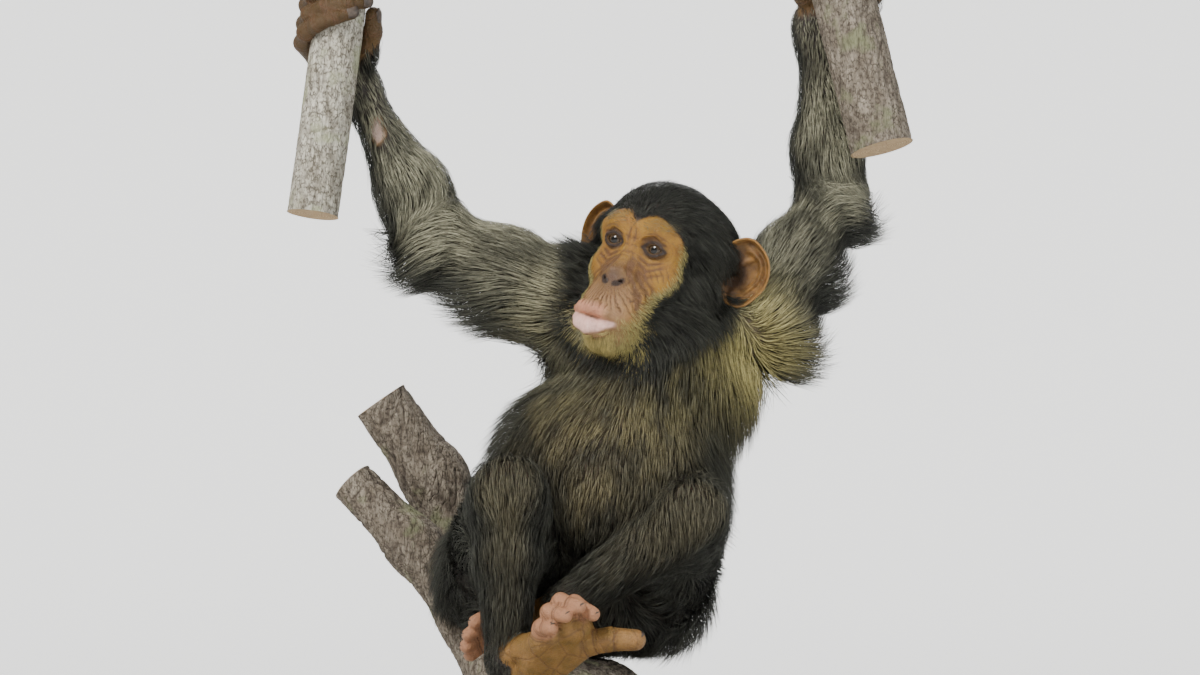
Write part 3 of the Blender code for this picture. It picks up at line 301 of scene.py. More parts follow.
def torso_forms():
    return [
        Egg(CHEST, CHEST_RADII, TORSO_TURN),
        Egg(BELLY, BELLY_RADII, TORSO_TURN),
        Egg(UPPER_BACK, BACK_RADII, TORSO_TURN),
        Egg(PELVIS, PELVIS_RADII, TORSO_TURN),
        Limb(HIP["right"], HIP["left"], HIP_RADIUS, HIP_RADIUS),
    ]


def shoulder_forms():
    start = CHEST + CHEST_SIDE
    forms = [Limb(start, SHOULDER[side], CHEST_SIDE_RADIUS, SHOULDER_RADIUS) for side in SIDES]
    return forms + [Limb(*NECK, NECK_RADIUS, NECK_RADIUS)]


def leg_forms(side):
    hip, knee, ankle = HIP[side], KNEE[side], ANKLE[side]
    calf = knee.lerp(ankle, 0.36) + Vector((0, 0.004, 0))
    past = ankle + (ankle - knee).normalized() * 0.010
    thigh = [hip, hip.lerp(knee, 0.5), knee]
    return chain(thigh, [HIP_RADIUS, THIGH_RADIUS, KNEE_RADIUS]) + chain(
        [knee, calf, ankle, past], [KNEE_RADIUS, CALF_RADIUS, ANKLE_RADIUS, ANKLE_RADIUS]
    )


class Grip:
    """Places round a trunk: an angle from the front towards the fingers' side, a distance
    from the trunk's surface, and a height."""

    def __init__(self, axis, radius, outward):
        self.axis, self.radius, self.outward = axis, radius, outward

    def way(self, angle):
        turn = math.radians(angle)
        return Vector((self.outward * math.sin(turn), -math.cos(turn), 0))

    def at(self, angle, away, height):
        low, high = self.axis
        centre = low.lerp(high, (height - low.z) / (high.z - low.z))
        return centre + self.way(angle) * (self.radius + away)


GRIP = {"right": Grip(TRUNK, TRUNK_RADIUS, -1), "left": Grip(BRANCH, BRANCH_RADIUS, 1)}
FINGER_RADIUS, FINGER_TAPER = 0.0080, 0.82
KNUCKLE_ANGLE = 98.0
FINGER_SHARES = (0.0, 0.28, 0.52, 0.76, 1.0)
# For each finger from the little one up: height of knuckle and of tip above the wrist, and the
# angle its tip reaches round the trunk's front.
FINGERS = ((0.031, 0.052, -26.0), (0.049, 0.064, -50.0), (0.067, 0.080, -56.0), (0.084, 0.096, -44.0))


def finger_angles(side, finger):
    scale = (TRUNK_RADIUS + FINGER_RADIUS) / (GRIP[side].radius + FINGER_RADIUS)
    reach = FINGERS[finger][2]
    return [KNUCKLE_ANGLE + share * (reach - KNUCKLE_ANGLE) * scale for share in FINGER_SHARES]


def finger_points(side, finger):
    knuckle, tip, _ = FINGERS[finger]
    heights = [WRIST[side].z + knuckle + share * (tip - knuckle) for share in FINGER_SHARES]
    angles = finger_angles(side, finger)
    return [GRIP[side].at(a, FINGER_RADIUS * 0.92, h) for a, h in zip(angles, heights)]


# For the thumb's joints: angle round the trunk, distance from it, and height above the wrist.
THUMB = ((206, 11 * MM, 0.016), (238, 10 * MM, 0.028), (258, 9 * MM, 0.042), (274, 7.5 * MM, 0.056))
THUMB_RADII = (0.0140, 0.0120, 0.0098, 0.0088, 0.0075)  # from the heel of the hand to the tip
PALM_HEEL_RADIUS, PALM_RADII = 0.0155, (0.0120, 0.0105, 0.0092)
JOINT_SHARE, BONE_SHARE = 1.06, 0.985  # of a finger's radius, at its joints and between them


def thumb_points(side):
    wrist = WRIST[side].z
    return [GRIP[side].at(angle, away, wrist + height) for angle, away, height in THUMB]


def hand_forms(side):
    grip, wrist = GRIP[side], WRIST[side]
    forms = [Limb(wrist - (wrist - ELBOW[side]).normalized() * 0.014, wrist, WRIST_RADIUS, WRIST_RADIUS)]
    heel = grip.at(200, 12 * MM, wrist.z + 0.018)
    forms.append(Limb(wrist, heel, WRIST_RADIUS, PALM_HEEL_RADIUS))
    for finger in range(4):
        points = finger_points(side, finger)
        root = grip.at(196, 11 * MM, wrist.z + 0.014 + 0.008 * finger)
        middle = grip.at(146, 10.5 * MM, wrist.z + 0.024 + 0.0125 * finger)
        forms += chain([root, middle, points[0]], PALM_RADII)
        radii = [FINGER_RADIUS * (1 - (1 - FINGER_TAPER) * share) for share in (0, 0.3, 0.5, 0.8, 1)]
        # Each joint is a little thicker than the bone beside it.
        for i, point in enumerate(points[1:-1], 1):
            forms.append(Egg(point, Vector((1, 1, 1)) * radii[i] * JOINT_SHARE))
        forms += chain(points, [radius * BONE_SHARE for radius in radii])
    return forms + chain([heel] + thumb_points(side), THUMB_RADII)


HEEL = {"right": Vector((-0.060, -0.052, 0.174)), "left": Vector((-0.010, -0.012, 0.226))}
# Toes from the little one to the second: base, knuckle and tip of each, then the big toe.
TOES = {
    "right": (
        ((-0.0450, -0.100, 0.2155), (-0.0422, -0.112, 0.2281), (-0.0336, -0.124, 0.2271)),
        ((-0.0339, -0.103, 0.2202), (-0.0352, -0.118, 0.2412), (-0.0210, -0.132, 0.2375)),
        ((-0.0196, -0.104, 0.2247), (-0.0254, -0.118, 0.2504), (-0.0094, -0.130, 0.2451)),
        ((-0.0081, -0.102, 0.2269), (-0.0133, -0.110, 0.2492), (0.0029, -0.120, 0.2394)),
    ),
    "left": (
        ((-0.0800, -0.004, 0.2150), (-0.0950, -0.006, 0.2200), (-0.1080, -0.012, 0.2090)),
        ((-0.0790, -0.010, 0.2230), (-0.0960, -0.014, 0.2280), (-0.1110, -0.020, 0.2160)),
        ((-0.0760, -0.014, 0.2310), (-0.0930, -0.019, 0.2370), (-0.1090, -0.026, 0.2260)),
        ((-0.0710, -0.016, 0.2390), (-0.0870, -0.022, 0.2460), (-0.1030, -0.030, 0.2370)),
    ),
}
BIG_TOE = {
    "right": ((-0.0060, -0.090, 0.2150), (0.0190, -0.098, 0.2185), (0.0400, -0.097, 0.2180)),
    "left": ((-0.0500, -0.020, 0.2420), (-0.0600, -0.034, 0.2460), (-0.0760, -0.044, 0.2420)),
}
TOE_RADIUS, BIG_TOE_RADIUS, HEEL_RADIUS = 0.0075, 0.0105, 0.0150
TOE_BASE_RADIUS, BIG_TOE_BASE_RADIUS = 0.0092, 0.0125
SOLE_RADIUS, INSTEP_RADIUS = 0.0100, 0.0090  # where sole and instep meet the toes


def foot_forms(side):
    ankle, heel = ANKLE[side], HEEL[side]
    shin_way = (ankle - KNEE[side]).normalized()
    forms = [Limb(ankle - shin_way * 0.012, ankle, ANKLE_RADIUS, ANKLE_RADIUS)]
    forms.append(Limb(ankle, heel, ANKLE_RADIUS, HEEL_RADIUS))
    for base, knuckle, tip in TOES[side]:
        base, knuckle, tip = Vector(base), Vector(knuckle), Vector(tip)
        forms.append(Limb(heel, base, HEEL_RADIUS * 0.92, SOLE_RADIUS))
        forms.append(Limb(ankle, base, ANKLE_RADIUS * 0.9, INSTEP_RADIUS))
        forms += chain([base, knuckle, tip], [TOE_BASE_RADIUS, TOE_RADIUS, TOE_RADIUS * 0.86])
    base, middle, tip = (Vector(point) for point in BIG_TOE[side])
    forms.append(Limb(heel, base, HEEL_RADIUS * 0.92, BIG_TOE_BASE_RADIUS))
    radii = [BIG_TOE_BASE_RADIUS, BIG_TOE_RADIUS, BIG_TOE_RADIUS * 0.9]
    return forms + chain([base, middle, tip], radii)


# ---------------------------------------------------------------- head
def arc_on_head(points, radii):
    return chain([on_head(*point) for point in points], [radius * MM for radius in radii])


def head_egg(centre, radii):
    return Egg(on_head(*centre), Vector(radii) * MM, HEAD_TURN)


def both_sides(make):
    """The forms that make gives for the left (1) and for the right (-1)."""
    return make(1) + make(-1)


def skull_forms():
    forms = [head_egg((0, -4, 8), (51, 59, 46)), head_egg((0, 30, 0), (43, 27, 23))]
    # The temples, filled out by their long hair.
    return forms + both_sides(lambda s: [head_egg((31 * s, -20, 3), (29, 36, 31))])


def face_forms():
    forms = [
        head_egg((0, 34, -34), (40, 30, 34)),
        head_egg((0, 54, -60), (33, 27, 24)),
        head_egg((0, 62, -70), (30, 25, 19)),
        head_egg((0, 44, -84), (28, 28, 20)),
        head_egg((-1, 62, -91), (17, 17, 13)),
        head_egg((0, 66, -37), (14, 9, 8)),
    ]
    forms += both_sides(lambda s: [head_egg((27 * s, 37, -32), (17, 17, 20))])
    forms += both_sides(lambda s: arc_on_head([(42 * s, 2, -30), (24 * s, 36, -84)], [19, 17]))
    forms += both_sides(
        lambda s: arc_on_head([(0, 50, 9), (20 * s, 52.5, 12.5), (36 * s, 41, 7)], [6, 6.2, 6])
    )
    # The bridge of the nose, and the upper jaw that reaches forward to the pouting lip.
    forms += arc_on_head([(0, 48, -4), (0, 58, -24)], [7, 9])
    forms += arc_on_head([(0, 58, -46), (0, 78, -63)], [18, 15])
    return forms


UPPER_LIP = ((-25, 83, -72), (-15, 92, -68), (-4, 96, -65.5), (7, 91, -68.5), (15, 82, -72.5))
LOWER_LIP = ((-25, 82, -80), (-15, 91, -82.5), (-4, 94.5, -84), (6, 88, -82), (14.5, 80, -78))
UPPER_RADII, LOWER_RADII = (4.2, 6.2, 7.2, 5.8, 3.0), (4.0, 6.8, 7.8, 6.0, 2.6)
MOUTH_LINE = ((-27, 87, -76), (-15, 99, -75), (-3, 107, -74), (7, 98, -75), (19, 84, -76))
MOUTH_OPEN = (0.5, 1.5, 4.1, 2.0, 0.5)
NOSTRIL = ((4.4, 77, -41.5), (7.0, 75.5, -41), (9.6, 72, -38))
NOSTRIL_OPEN = (1.9, 2.9, 1.7)
WING, WING_RADII = ((4.5, 73.5, -30.5), (12.5, 69, -34), (13.5, 67, -41)), (4.6, 4.4, 3.2)


def lip_forms():
    return arc_on_head(UPPER_LIP, UPPER_RADII) + arc_on_head(LOWER_LIP, LOWER_RADII)


LID_LIFTS = (6.8, -5.7)  # how far the lids' edges arch above and below the eye's middle
LID_REACH, LID_HALF = 11.2, 10.4  # from the eyeball's middle, and half the eye's opening
LID_STEPS = 8


def lid_arc(s, lift):
    """Points along a lid's edge over the eyeball, from one corner of the eye to the other."""
    points = []
    for step in range(LID_STEPS + 1):
        share = 2 * step / LID_STEPS - 1
        side, up = LID_HALF * share, lift * (1 - share * share)
        depth = math.sqrt(max(0.0, LID_REACH**2 - side**2 - up**2))
        points.append((EYE_APART / 2 * s + side, EYE_FORWARD + depth, EYE_UP + up))
    return points


def lid_forms():
    """Rims of the upper and lower lids, and the fold above the upper one."""

    def lids(s):
        made = []
        for lift, radius in zip(LID_LIFTS, (1.7, 1.5)):
            ends = [radius * 0.7] + [radius] * (LID_STEPS - 1) + [radius * 0.7]
            made += arc_on_head(lid_arc(s, lift), ends)
        return made

    return both_sides(lids)


SOCKET_FORWARD, SOCKET_RADII = 62, (12.5, 10.5, 9.0)
# How widely forms run into each other: inside a part, and where a part meets the rest.
SKULL_BLEND, FACE_BLEND, SKULL_TO_FACE, HEAD_TO_NECK = 16 * MM, 14 * MM, 10 * MM, 10 * MM
DETAIL_BLEND, DETAIL_EDGE, WING_EDGE, SOCKET_EDGE, HOLE_EDGE = (
    share * MM for share in (2.2, 2.6, 4.0, 5.0, 1.0)
)
TORSO_BLEND, LEG_BLEND, LEG_TO_TORSO = 30 * MM, 10 * MM, 8 * MM
HAND_BLEND, FOOT_BLEND = 3.0 * MM, 3.2 * MM


class Head(Flesh):
    """Skull and face blend widely, then the sockets are pressed in and the lids and lips laid
    on, before the mouth and the nostrils open."""

    def __init__(self):
        self.skull = Flesh(skull_forms(), SKULL_BLEND)
        self.face = Flesh(face_forms(), FACE_BLEND)
        self.details = Flesh(lid_forms() + lip_forms(), DETAIL_BLEND)
        self.wings = both_sides(
            lambda s: arc_on_head([(s * x, y, z) for x, y, z in WING], WING_RADII)
        )
        self.sockets = both_sides(
            lambda s: [head_egg((EYE_APART / 2 * s, SOCKET_FORWARD, EYE_UP), SOCKET_RADII)]
        )
        self.holes = both_sides(
            lambda s: arc_on_head([(s * x, y, z) for x, y, z in NOSTRIL], NOSTRIL_OPEN)
        ) + arc_on_head(MOUTH_LINE, MOUTH_OPEN)
        forms = self.skull.forms + self.face.forms + self.details.forms
        super().__init__(forms, 0, soft=HEAD_TO_NECK)

    def distance(self, points):
        total = smooth_min(self.skull.distance(points), self.face.distance(points), SKULL_TO_FACE)
        for wing in self.wings:
            join(total, points, wing, WING_EDGE)
        for socket in self.sockets:
            carve(total, points, socket, SOCKET_EDGE)
        join(total, points, self.details, DETAIL_EDGE)
        for hole in self.holes:
            carve(total, points, hole, HOLE_EDGE)
        return total


TORSO = Flesh(torso_forms(), TORSO_BLEND)
ARMS = arm_forms("right") + arm_forms("left")
TRUNK_AND_ARMS = Flesh(torso_forms() + shoulder_forms() + ARMS, TORSO_BLEND)
LEGS = {side: Flesh(leg_forms(side), LEG_BLEND, soft=LEG_TO_TORSO) for side in SIDES}
HANDS = {side: Flesh(hand_forms(side), HAND_BLEND) for side in SIDES}
FEET = {side: Flesh(foot_forms(side), FOOT_BLEND) for side in SIDES}
HEAD_FLESH = Head()
BODY = Body([TRUNK_AND_ARMS, *LEGS.values(), *HANDS.values(), *FEET.values(), HEAD_FLESH])

# ---------------------------------------------------------------- where it is bare
# The bare face's edge at heights on the head: how far it lies to the side, and how far forward,
# in millimetres. Above, two lobes over the brows have a peak of hair between them.
FACE_EDGE = (
    (-106, 10, 46), (-98, 20, 52), (-87, 28, 60), (-75, 31, 61), (-63, 32.5, 60), (-53, 34, 57),
    (-45, 37, 53), (-38, 42, 49), (-32, 45, 44.5), (-24, 48, 37), (-12, 50, 34.5), (-2, 50, 38),
    (8, 46, 44), (16, 38.5, 48), (22, 30, 51), (28, 22, 52),
)
FACE_TOP = ((0, 16), (4, 19.5), (9, 23.5), (16, 25.5), (25, 24), (32, 20), (38, 14))
FINE_EDGE = 2.5  # mm over which the coat thins out at the face's edge
# The bald patch above the right wrist.
WRIST_PATCH = Egg((-0.199, 0.010, 0.696), (0.0075, 0.0135, 0.0150))


def face_margin(points):
    """Millimetres inside the bare face's edge, negative where the coat grows."""
    lateral, forward, up = in_head(points).T
    heights, widths, backs = np.array(FACE_EDGE, float).T
    width, back = np.interp(up, heights, widths), np.interp(up, heights, backs)
    top = np.interp(np.abs(lateral), *np.array(FACE_TOP, float).T)
    margin = np.minimum(width - np.abs(lateral), top - up)
    return np.minimum(np.minimum(margin, forward - back), up + 99)


def away_from(points, place):
    """Distance of each point from a place."""
    return np.linalg.norm(points - np.array(place), axis=1)


def spot(points, place, reach):
    """1 at a place, fading round it over reach, which may differ along the three ways."""
    return np.exp(-(np.linalg.norm((points - np.array(place)) / reach, axis=1) ** 2))


def near_hand(points):
    """1 on the hands, 0 above the wrists."""
    total = np.zeros(len(points))
    for side in SIDES:
        way = np.array((WRIST[side] - ELBOW[side]).normalized())
        past = (points - np.array(WRIST[side])) @ way
        close = away_from(points, WRIST[side]) < 0.16
        total = np.maximum(total, ramp(past, 0.008, 0.026) * close)
    return total


def hand_back(points):
    """1 on the backs of the hands, where short hair grows."""
    total = np.zeros(len(points))
    for side in SIDES:
        away, _ = to_segment(points, *GRIP[side].axis)
        close = away_from(points, WRIST[side]) < 0.10
        total = np.maximum(total, ramp(away - GRIP[side].radius, 19 * MM, 22 * MM) * close)
    return total


def near_foot(points):
    """1 on the feet, 0 above the ankles."""
    total = np.zeros(len(points))
    for side in SIDES:
        away = FEET[side].distance(points)
        leg, _ = to_segment(points, KNEE[side], ANKLE[side])
        total = np.maximum(total, (away < 2 * MM) * ramp(leg, 0.013, 0.021))
    return total


def in_patch(points):
    """How deep each point lies in the bald patch, whose edge wanders."""
    return -WRIST_PATCH.distance(points) + 2.5 * MM * wander(points, 5 * MM, 21.0)


def bare(points):
    """1 on bare skin, 0 under the coat."""
    face = ramp(face_margin(points), -FINE_EDGE, FINE_EDGE)
    patch = ramp(in_patch(points), -3 * MM, 2 * MM)
    hands = near_hand(points) * (1 - 0.85 * hand_back(points))
    return np.maximum.reduce([face, hands, near_foot(points), patch])


# ---------------------------------------------------------------- the skin's mesh
def new_object(name, data):
    made = bpy.data.objects.new(name, data)
    bpy.context.scene.collection.objects.link(made)
    return made


def object_of(name, shape):
    """A new object from a bmesh, which is freed."""
    mesh = bpy.data.meshes.new(name)
    shape.to_mesh(mesh)
    shape.free()
    return new_object(name, mesh)


def settled(obj):
    """Replaces an object's mesh by its evaluated one, and drops its modifiers."""
    bpy.context.view_layer.update()
    graph = bpy.context.evaluated_depsgraph_get()
    mesh = bpy.data.meshes.new_from_object(obj.evaluated_get(graph))
    obj.modifiers.clear()
    obj.data = mesh
    return obj


def points_of(mesh):
    points = np.empty(len(mesh.vertices) * 3, np.float32)
    mesh.vertices.foreach_get("co", points)
    return points.reshape(-1, 3).astype(float)


def put_points(mesh, points):
    mesh.vertices.foreach_set("co", points.astype(np.float32).ravel())
    mesh.update()


def edges_of(mesh):
    edges = np.empty(len(mesh.edges) * 2, np.int32)
    mesh.edges.foreach_get("vertices", edges)
    return edges.reshape(-1, 2)


def shade_smooth(mesh):
    mesh.polygons.foreach_set("use_smooth", np.ones(len(mesh.polygons), bool))


def relaxed(points, edges):
    """Each point moved to the mean of its neighbours."""
    ends = np.concatenate([edges[:, 0], edges[:, 1]])
    others = np.concatenate([edges[:, 1], edges[:, 0]])
    count = np.maximum(np.bincount(ends, minlength=len(points)), 1)
    sums = [np.bincount(ends, points[others, axis], len(points)) for axis in range(3)]
    return np.stack(sums, axis=1) / count[:, None]


def normals_of(mesh):
    normals = np.empty(len(mesh.vertices) * 3, np.float32)
    mesh.vertex_normals.foreach_get("vector", normals)
    return normals.reshape(-1, 3).astype(float)


def fitted(mesh, shares, most, field=None, moving=None):
    """Moves a mesh along its normals onto a field's surface, evening it out at each round."""
    field = field or BODY
    edges = edges_of(mesh)
    for share in shares:
        points = points_of(mesh)
        even = points + share * (relaxed(points, edges) - points)
        put_points(mesh, even if moving is None else np.where(moving[:, None], even, points))
        points, normals = points_of(mesh), normals_of(mesh)
        kept = np.arange(len(points)) if moving is None else np.flatnonzero(moving)
        away = np.clip(field.distance(points[kept]), -most, most)
        points[kept] -= normals[kept] * away[:, None]
        put_points(mesh, points)


def refined(mesh, wanted):
    """Splits the edges between wanted vertices, and gives the new mask of wanted vertices."""
    shape = bmesh.new()
    shape.from_mesh(mesh)
    keep = wanted(points_of(mesh))
    edges = [edge for edge in shape.edges if keep[edge.verts[0].index] and keep[edge.verts[1].index]]
    bmesh.ops.subdivide_edges(shape, edges=edges, cuts=1, use_grid_fill=True)
    shape.to_mesh(mesh)
    shape.free()
    mesh.update()
    return wanted(points_of(mesh))


def wants_fine(points):
    return (face_margin(points) > -9) | (near_hand(points) > 0) | (near_foot(points) > 0)


def wants_finest(points):
    face = (face_margin(points) > -4) & (in_head(points)[:, 1] > 26)
    return face | (digit_creases(points, 3.5 * MM) > 0.01)


def remeshed(name, forms, voxel):
    """One closed mesh round all the forms."""
    shape = bmesh.new()
    for form in forms:
        alone = bmesh.new()
        form.add_to(alone)
        mesh = bpy.data.meshes.new(name)
        alone.to_mesh(mesh)
        alone.free()
        shape.from_mesh(mesh)
        bpy.data.meshes.remove(mesh)
    made = object_of(name, shape)
    remesh = made.modifiers.new("Remesh", "REMESH")
    remesh.mode, remesh.voxel_size = "VOXEL", voxel
    return settled(made)


# Lines of the face as seen from its front: millimetres to the side and up, with each line's
# half width and depth. Each is on both sides.
FACE_LINES = (
    (((9, -13), (20, -19.5), (33, -14)), 1.3, 0.75),
    (((9, -18), (21, -25.5), (36, -18)), 1.4, 0.65),
    (((13, -25), (24, -31), (38, -24)), 1.6, 0.45),
    (((9, 0.5), (21, 5.5), (34, -0.5)), 1.3, 1.1),
    (((12, 6.5), (22, 9.5), (35, 4)), 1.5, 0.4),
    (((7, -14), (12, -28), (20, -42), (28, -58), (31, -74)), 1.5, 0.9),
    (((13, -24), (22, -37), (31, -50), (34, -66)), 1.6, 0.7),
    (((20, -29), (31, -40), (38, -52)), 1.8, 0.5),
    (((6, -12), (7, -22), (11, -31), (15.5, -37), (12, -44)), 1.2, 0.7),
    (((2.5, 13), (3.5, 5), (3.0, -4)), 1.3, 0.5),
    (((0, 2), (5, 1.5), (8, 3)), 1.1, 0.4),
    (((0, -5), (5, -5), (8, -8)), 1.1, 0.4),
    (((0, -11), (4, -11.5), (7, -14)), 1.1, 0.35),
    (((27, -73), (32, -80), (30, -90)), 1.6, 0.6),
    (((0, -97), (10, -96), (20, -92)), 1.5, 0.4),
)


def line_depths(side, up, path, width):
    """How deep each place lies in a line's groove, from 0 to 1, fading at the line's ends."""
    places = np.stack([side, up], axis=1)
    spans = [math.dist(path[i], path[i + 1]) for i in range(len(path) - 1)]
    best, where, passed = np.full(len(side), 99.0), np.zeros(len(side)), 0.0
    for i, span in enumerate(spans):
        away, share = to_segment(places, path[i], path[i + 1])
        closer = away < best
        best = np.where(closer, away, best)
        where = np.where(closer, (passed + share * span) / sum(spans), where)
        passed += span
    return np.exp(-((best / width) ** 2)) * ramp(np.minimum(where, 1 - where), -0.02, 0.22)


def sharp(wave):
    """Narrow grooves between broad ridges, from a wave."""
    return np.maximum(wave, 0) ** 2.5


def face_folds(points):
    """Depth in millimetres of the face's lines and fine wrinkles at each point."""
    lateral, forward, up = in_head(points).T
    aside = np.abs(lateral)
    wobble, fold = wander(points, 9 * MM, 3.0), wander(points, 3.2 * MM, 5.0)
    side, height = aside + 0.9 * wobble, up + 0.9 * wander(points, 8 * MM, 7.0)
    total = np.zeros(len(points))
    for path, width, depth in FACE_LINES:
        total += 1.3 * depth * line_depths(side, height, path, width)
    # Wrinkles that fan out over the muzzle from below the nose.
    fan = np.arctan2(lateral + 2, -(up + 30))
    muzzle = ramp(-up, 41, 50) * ramp(-up, 68, 61) * ramp(aside, 40, 30)
    total += 1.3 * muzzle * sharp(np.sin(fan * 50 + 3.0 * wobble + 1.2 * fold))
    # Faint upright lines on the lips.
    lips = ramp(-up, 61, 66) * ramp(-up, 98, 90) * ramp(aside, 28, 20)
    total += 0.10 * lips * np.maximum(np.sin(lateral * 1.7 + 1.6 * fold), 0)
    # Rings over the bridge of the nose.
    nose = np.hypot(lateral / 1.15, up + 36)
    bridge = ramp(-up, 8, 16) * ramp(nose, 15, 19) * ramp(nose, 40, 30) * ramp(-up, 50, 40)
    bridge *= ramp(aside, 27, 18)
    total += 0.60 * bridge * sharp(np.sin(nose * 1.6 + 1.8 * wobble))
    # Slanting lines down the cheeks, in uneven groups.
    cheek = ramp(aside, 20, 27) * ramp(-up, 16, 26) * ramp(-up, 82, 66)
    slope = aside * 0.82 + up * 0.57
    uneven = ramp(wander(points, 12 * MM, 8.0), -0.35, 0.35)
    total += 1.15 * cheek * uneven * sharp(np.sin(slope * 1.5 + 2.6 * wobble + 0.5 * fold))
    # Fine rings round the eyes.
    round_eye = np.hypot(aside - EYE_APART / 2, (up - EYE_UP) * 1.15)
    rings = np.maximum(np.sin(round_eye * 2.1 + 1.6 * fold), 0)
    total += 0.20 * rings * ramp(round_eye, 11, 14) * ramp(round_eye, 30, 20)
    return total * ramp(forward, 22, 32)


def crease_places():
    """Where creases run round the digits: a place, the way along the digit and its radius."""
    places = []
    for side in SIDES:
        for finger in range(4):
            points = finger_points(side, finger)
            places += [(points[i], points[i + 1] - points[i - 1], FINGER_RADIUS) for i in (1, 2, 3)]
        thumb = thumb_points(side)
        places += [(thumb[i], thumb[i + 1] - thumb[i - 1], 9 * MM) for i in (1, 2)]
        for toe in TOES[side]:
            base, knuckle, tip = (Vector(point) for point in toe)
            places.append((base.lerp(knuckle, 0.45), knuckle - base, TOE_RADIUS + 1 * MM))
            places.append((knuckle, tip - base, TOE_RADIUS))
            places.append((knuckle.lerp(tip, 0.5), tip - knuckle, TOE_RADIUS))
        base, middle, tip = (Vector(point) for point in BIG_TOE[side])
        for share in (0.15, 0.50):
            places.append((base.lerp(middle, share), middle - base, BIG_TOE_RADIUS + 2 * MM))
        places.append((middle.lerp(tip, 0.1), tip - middle, BIG_TOE_RADIUS))
    return [(np.array(place), np.array(way.normalized()), radius) for place, way, radius in places]


CREASES = crease_places()


def digit_creases(points, width=0.8 * MM):
    """How deep the creases round the digits are at each point, from 0 to about 1."""
    total = np.zeros(len(points))
    for place, way, radius in CREASES:
        near = np.flatnonzero(np.linalg.norm(points - place, axis=1) < 2.2 * radius)
        offset = points[near] - place
        along = offset @ way + 0.5 * MM * wander(points[near], 5 * MM, 9.0)
        out = np.linalg.norm(offset - np.outer(offset @ way, way), axis=1)
        lines = np.exp(-((along / width) ** 2)) + 0.55 * np.exp(-(((along - 2.6 * MM) / width) ** 2))
        lines = lines * ramp(out, radius + 4 * MM, radius + 1.5 * MM)
        total[near] = np.maximum(total[near], lines)
    return total


def make_skin():
    """One closed skin over the whole animal, finer where it is bare and finest on the face."""
    forms = [form for part in BODY.forms for form in part.forms]
    skin = remeshed("skin", forms, SKIN_VOXEL)
    mesh = skin.data
    fitted(mesh, (0.0, 0.5, 0.5, 0.4, 0.3, 0.2), 2 * SKIN_VOXEL)
    fine = refined(mesh, wants_fine)
    fitted(mesh, (0.4, 0.3, 0.1), 2 * MM, moving=fine)
    finest = refined(mesh, wants_finest)
    fitted(mesh, (0.3, 0.2, 0.05), 1 * MM, moving=finest)
    points, normals = points_of(mesh), normals_of(mesh)
    near = np.flatnonzero(finest)
    depth = face_folds(points[near]) * (face_margin(points[near]) > -4)
    depth += 0.85 * digit_creases(points[near])
    points[near] -= normals[near] * depth[:, None] * MM
    put_points(mesh, points)
    shade_smooth(mesh)
    return skin


skin = make_skin()
SKIN_POINTS, SKIN_NORMALS = points_of(skin.data), normals_of(skin.data)


# ---------------------------------------------------------------- markings
def in_torso(points, centre):
    """Points from a centre, as metres to the torso's left, back and up."""
    return (points - np.array(centre)) @ np.array(TORSO_TURN)


def limb_shares(points):
    """1 on the arms and 1 on the legs, fading to the torso; the elbows' side is strongest."""
    arms, legs = np.zeros(len(points)), np.zeros(len(points))
    for side in SIDES:
        upper, along = to_segment(points, SHOULDER[side], ELBOW[side])
        lower, _ = to_segment(points, ELBOW[side], WRIST[side])
        arm = ramp(np.minimum(upper, lower), 0.075, 0.035) * (0.55 + 0.45 * along)
        arms = np.maximum(arms, arm)
        upper, _ = to_segment(points, HIP[side], KNEE[side])
        lower, _ = to_segment(points, KNEE[side], ANKLE[side])
        legs = np.maximum(legs, ramp(np.minimum(upper, lower), 0.070, 0.045))
    return arms, legs


def shoulder_share(points, side):
    """1 on the front of a shoulder."""
    centre = np.array(SHOULDER[side]) + (-0.016 if side == "left" else 0.010, 0, -0.022)
    return spot(points, centre, (0.034, 0.09, 0.044)) * ramp(-points[:, 1], -0.03, 0.01)


def painted_crease_shade(points, front):
    """1 where the thighs meet the belly and in the navel: painted shade in these creases, where the coat
    is kept black.
    """
    torso_away = TORSO.distance(points)
    leg_away = np.minimum(*(LEGS[side].distance(points) for side in SIDES))
    groin = np.exp(-(((torso_away - leg_away) / (7 * MM)) ** 2))
    groin *= ramp(torso_away, 30 * MM, 12 * MM)
    navel = spot(points[:, ::2], NAVEL, (0.0075, 0.0040))
    return np.maximum(groin, navel * front)


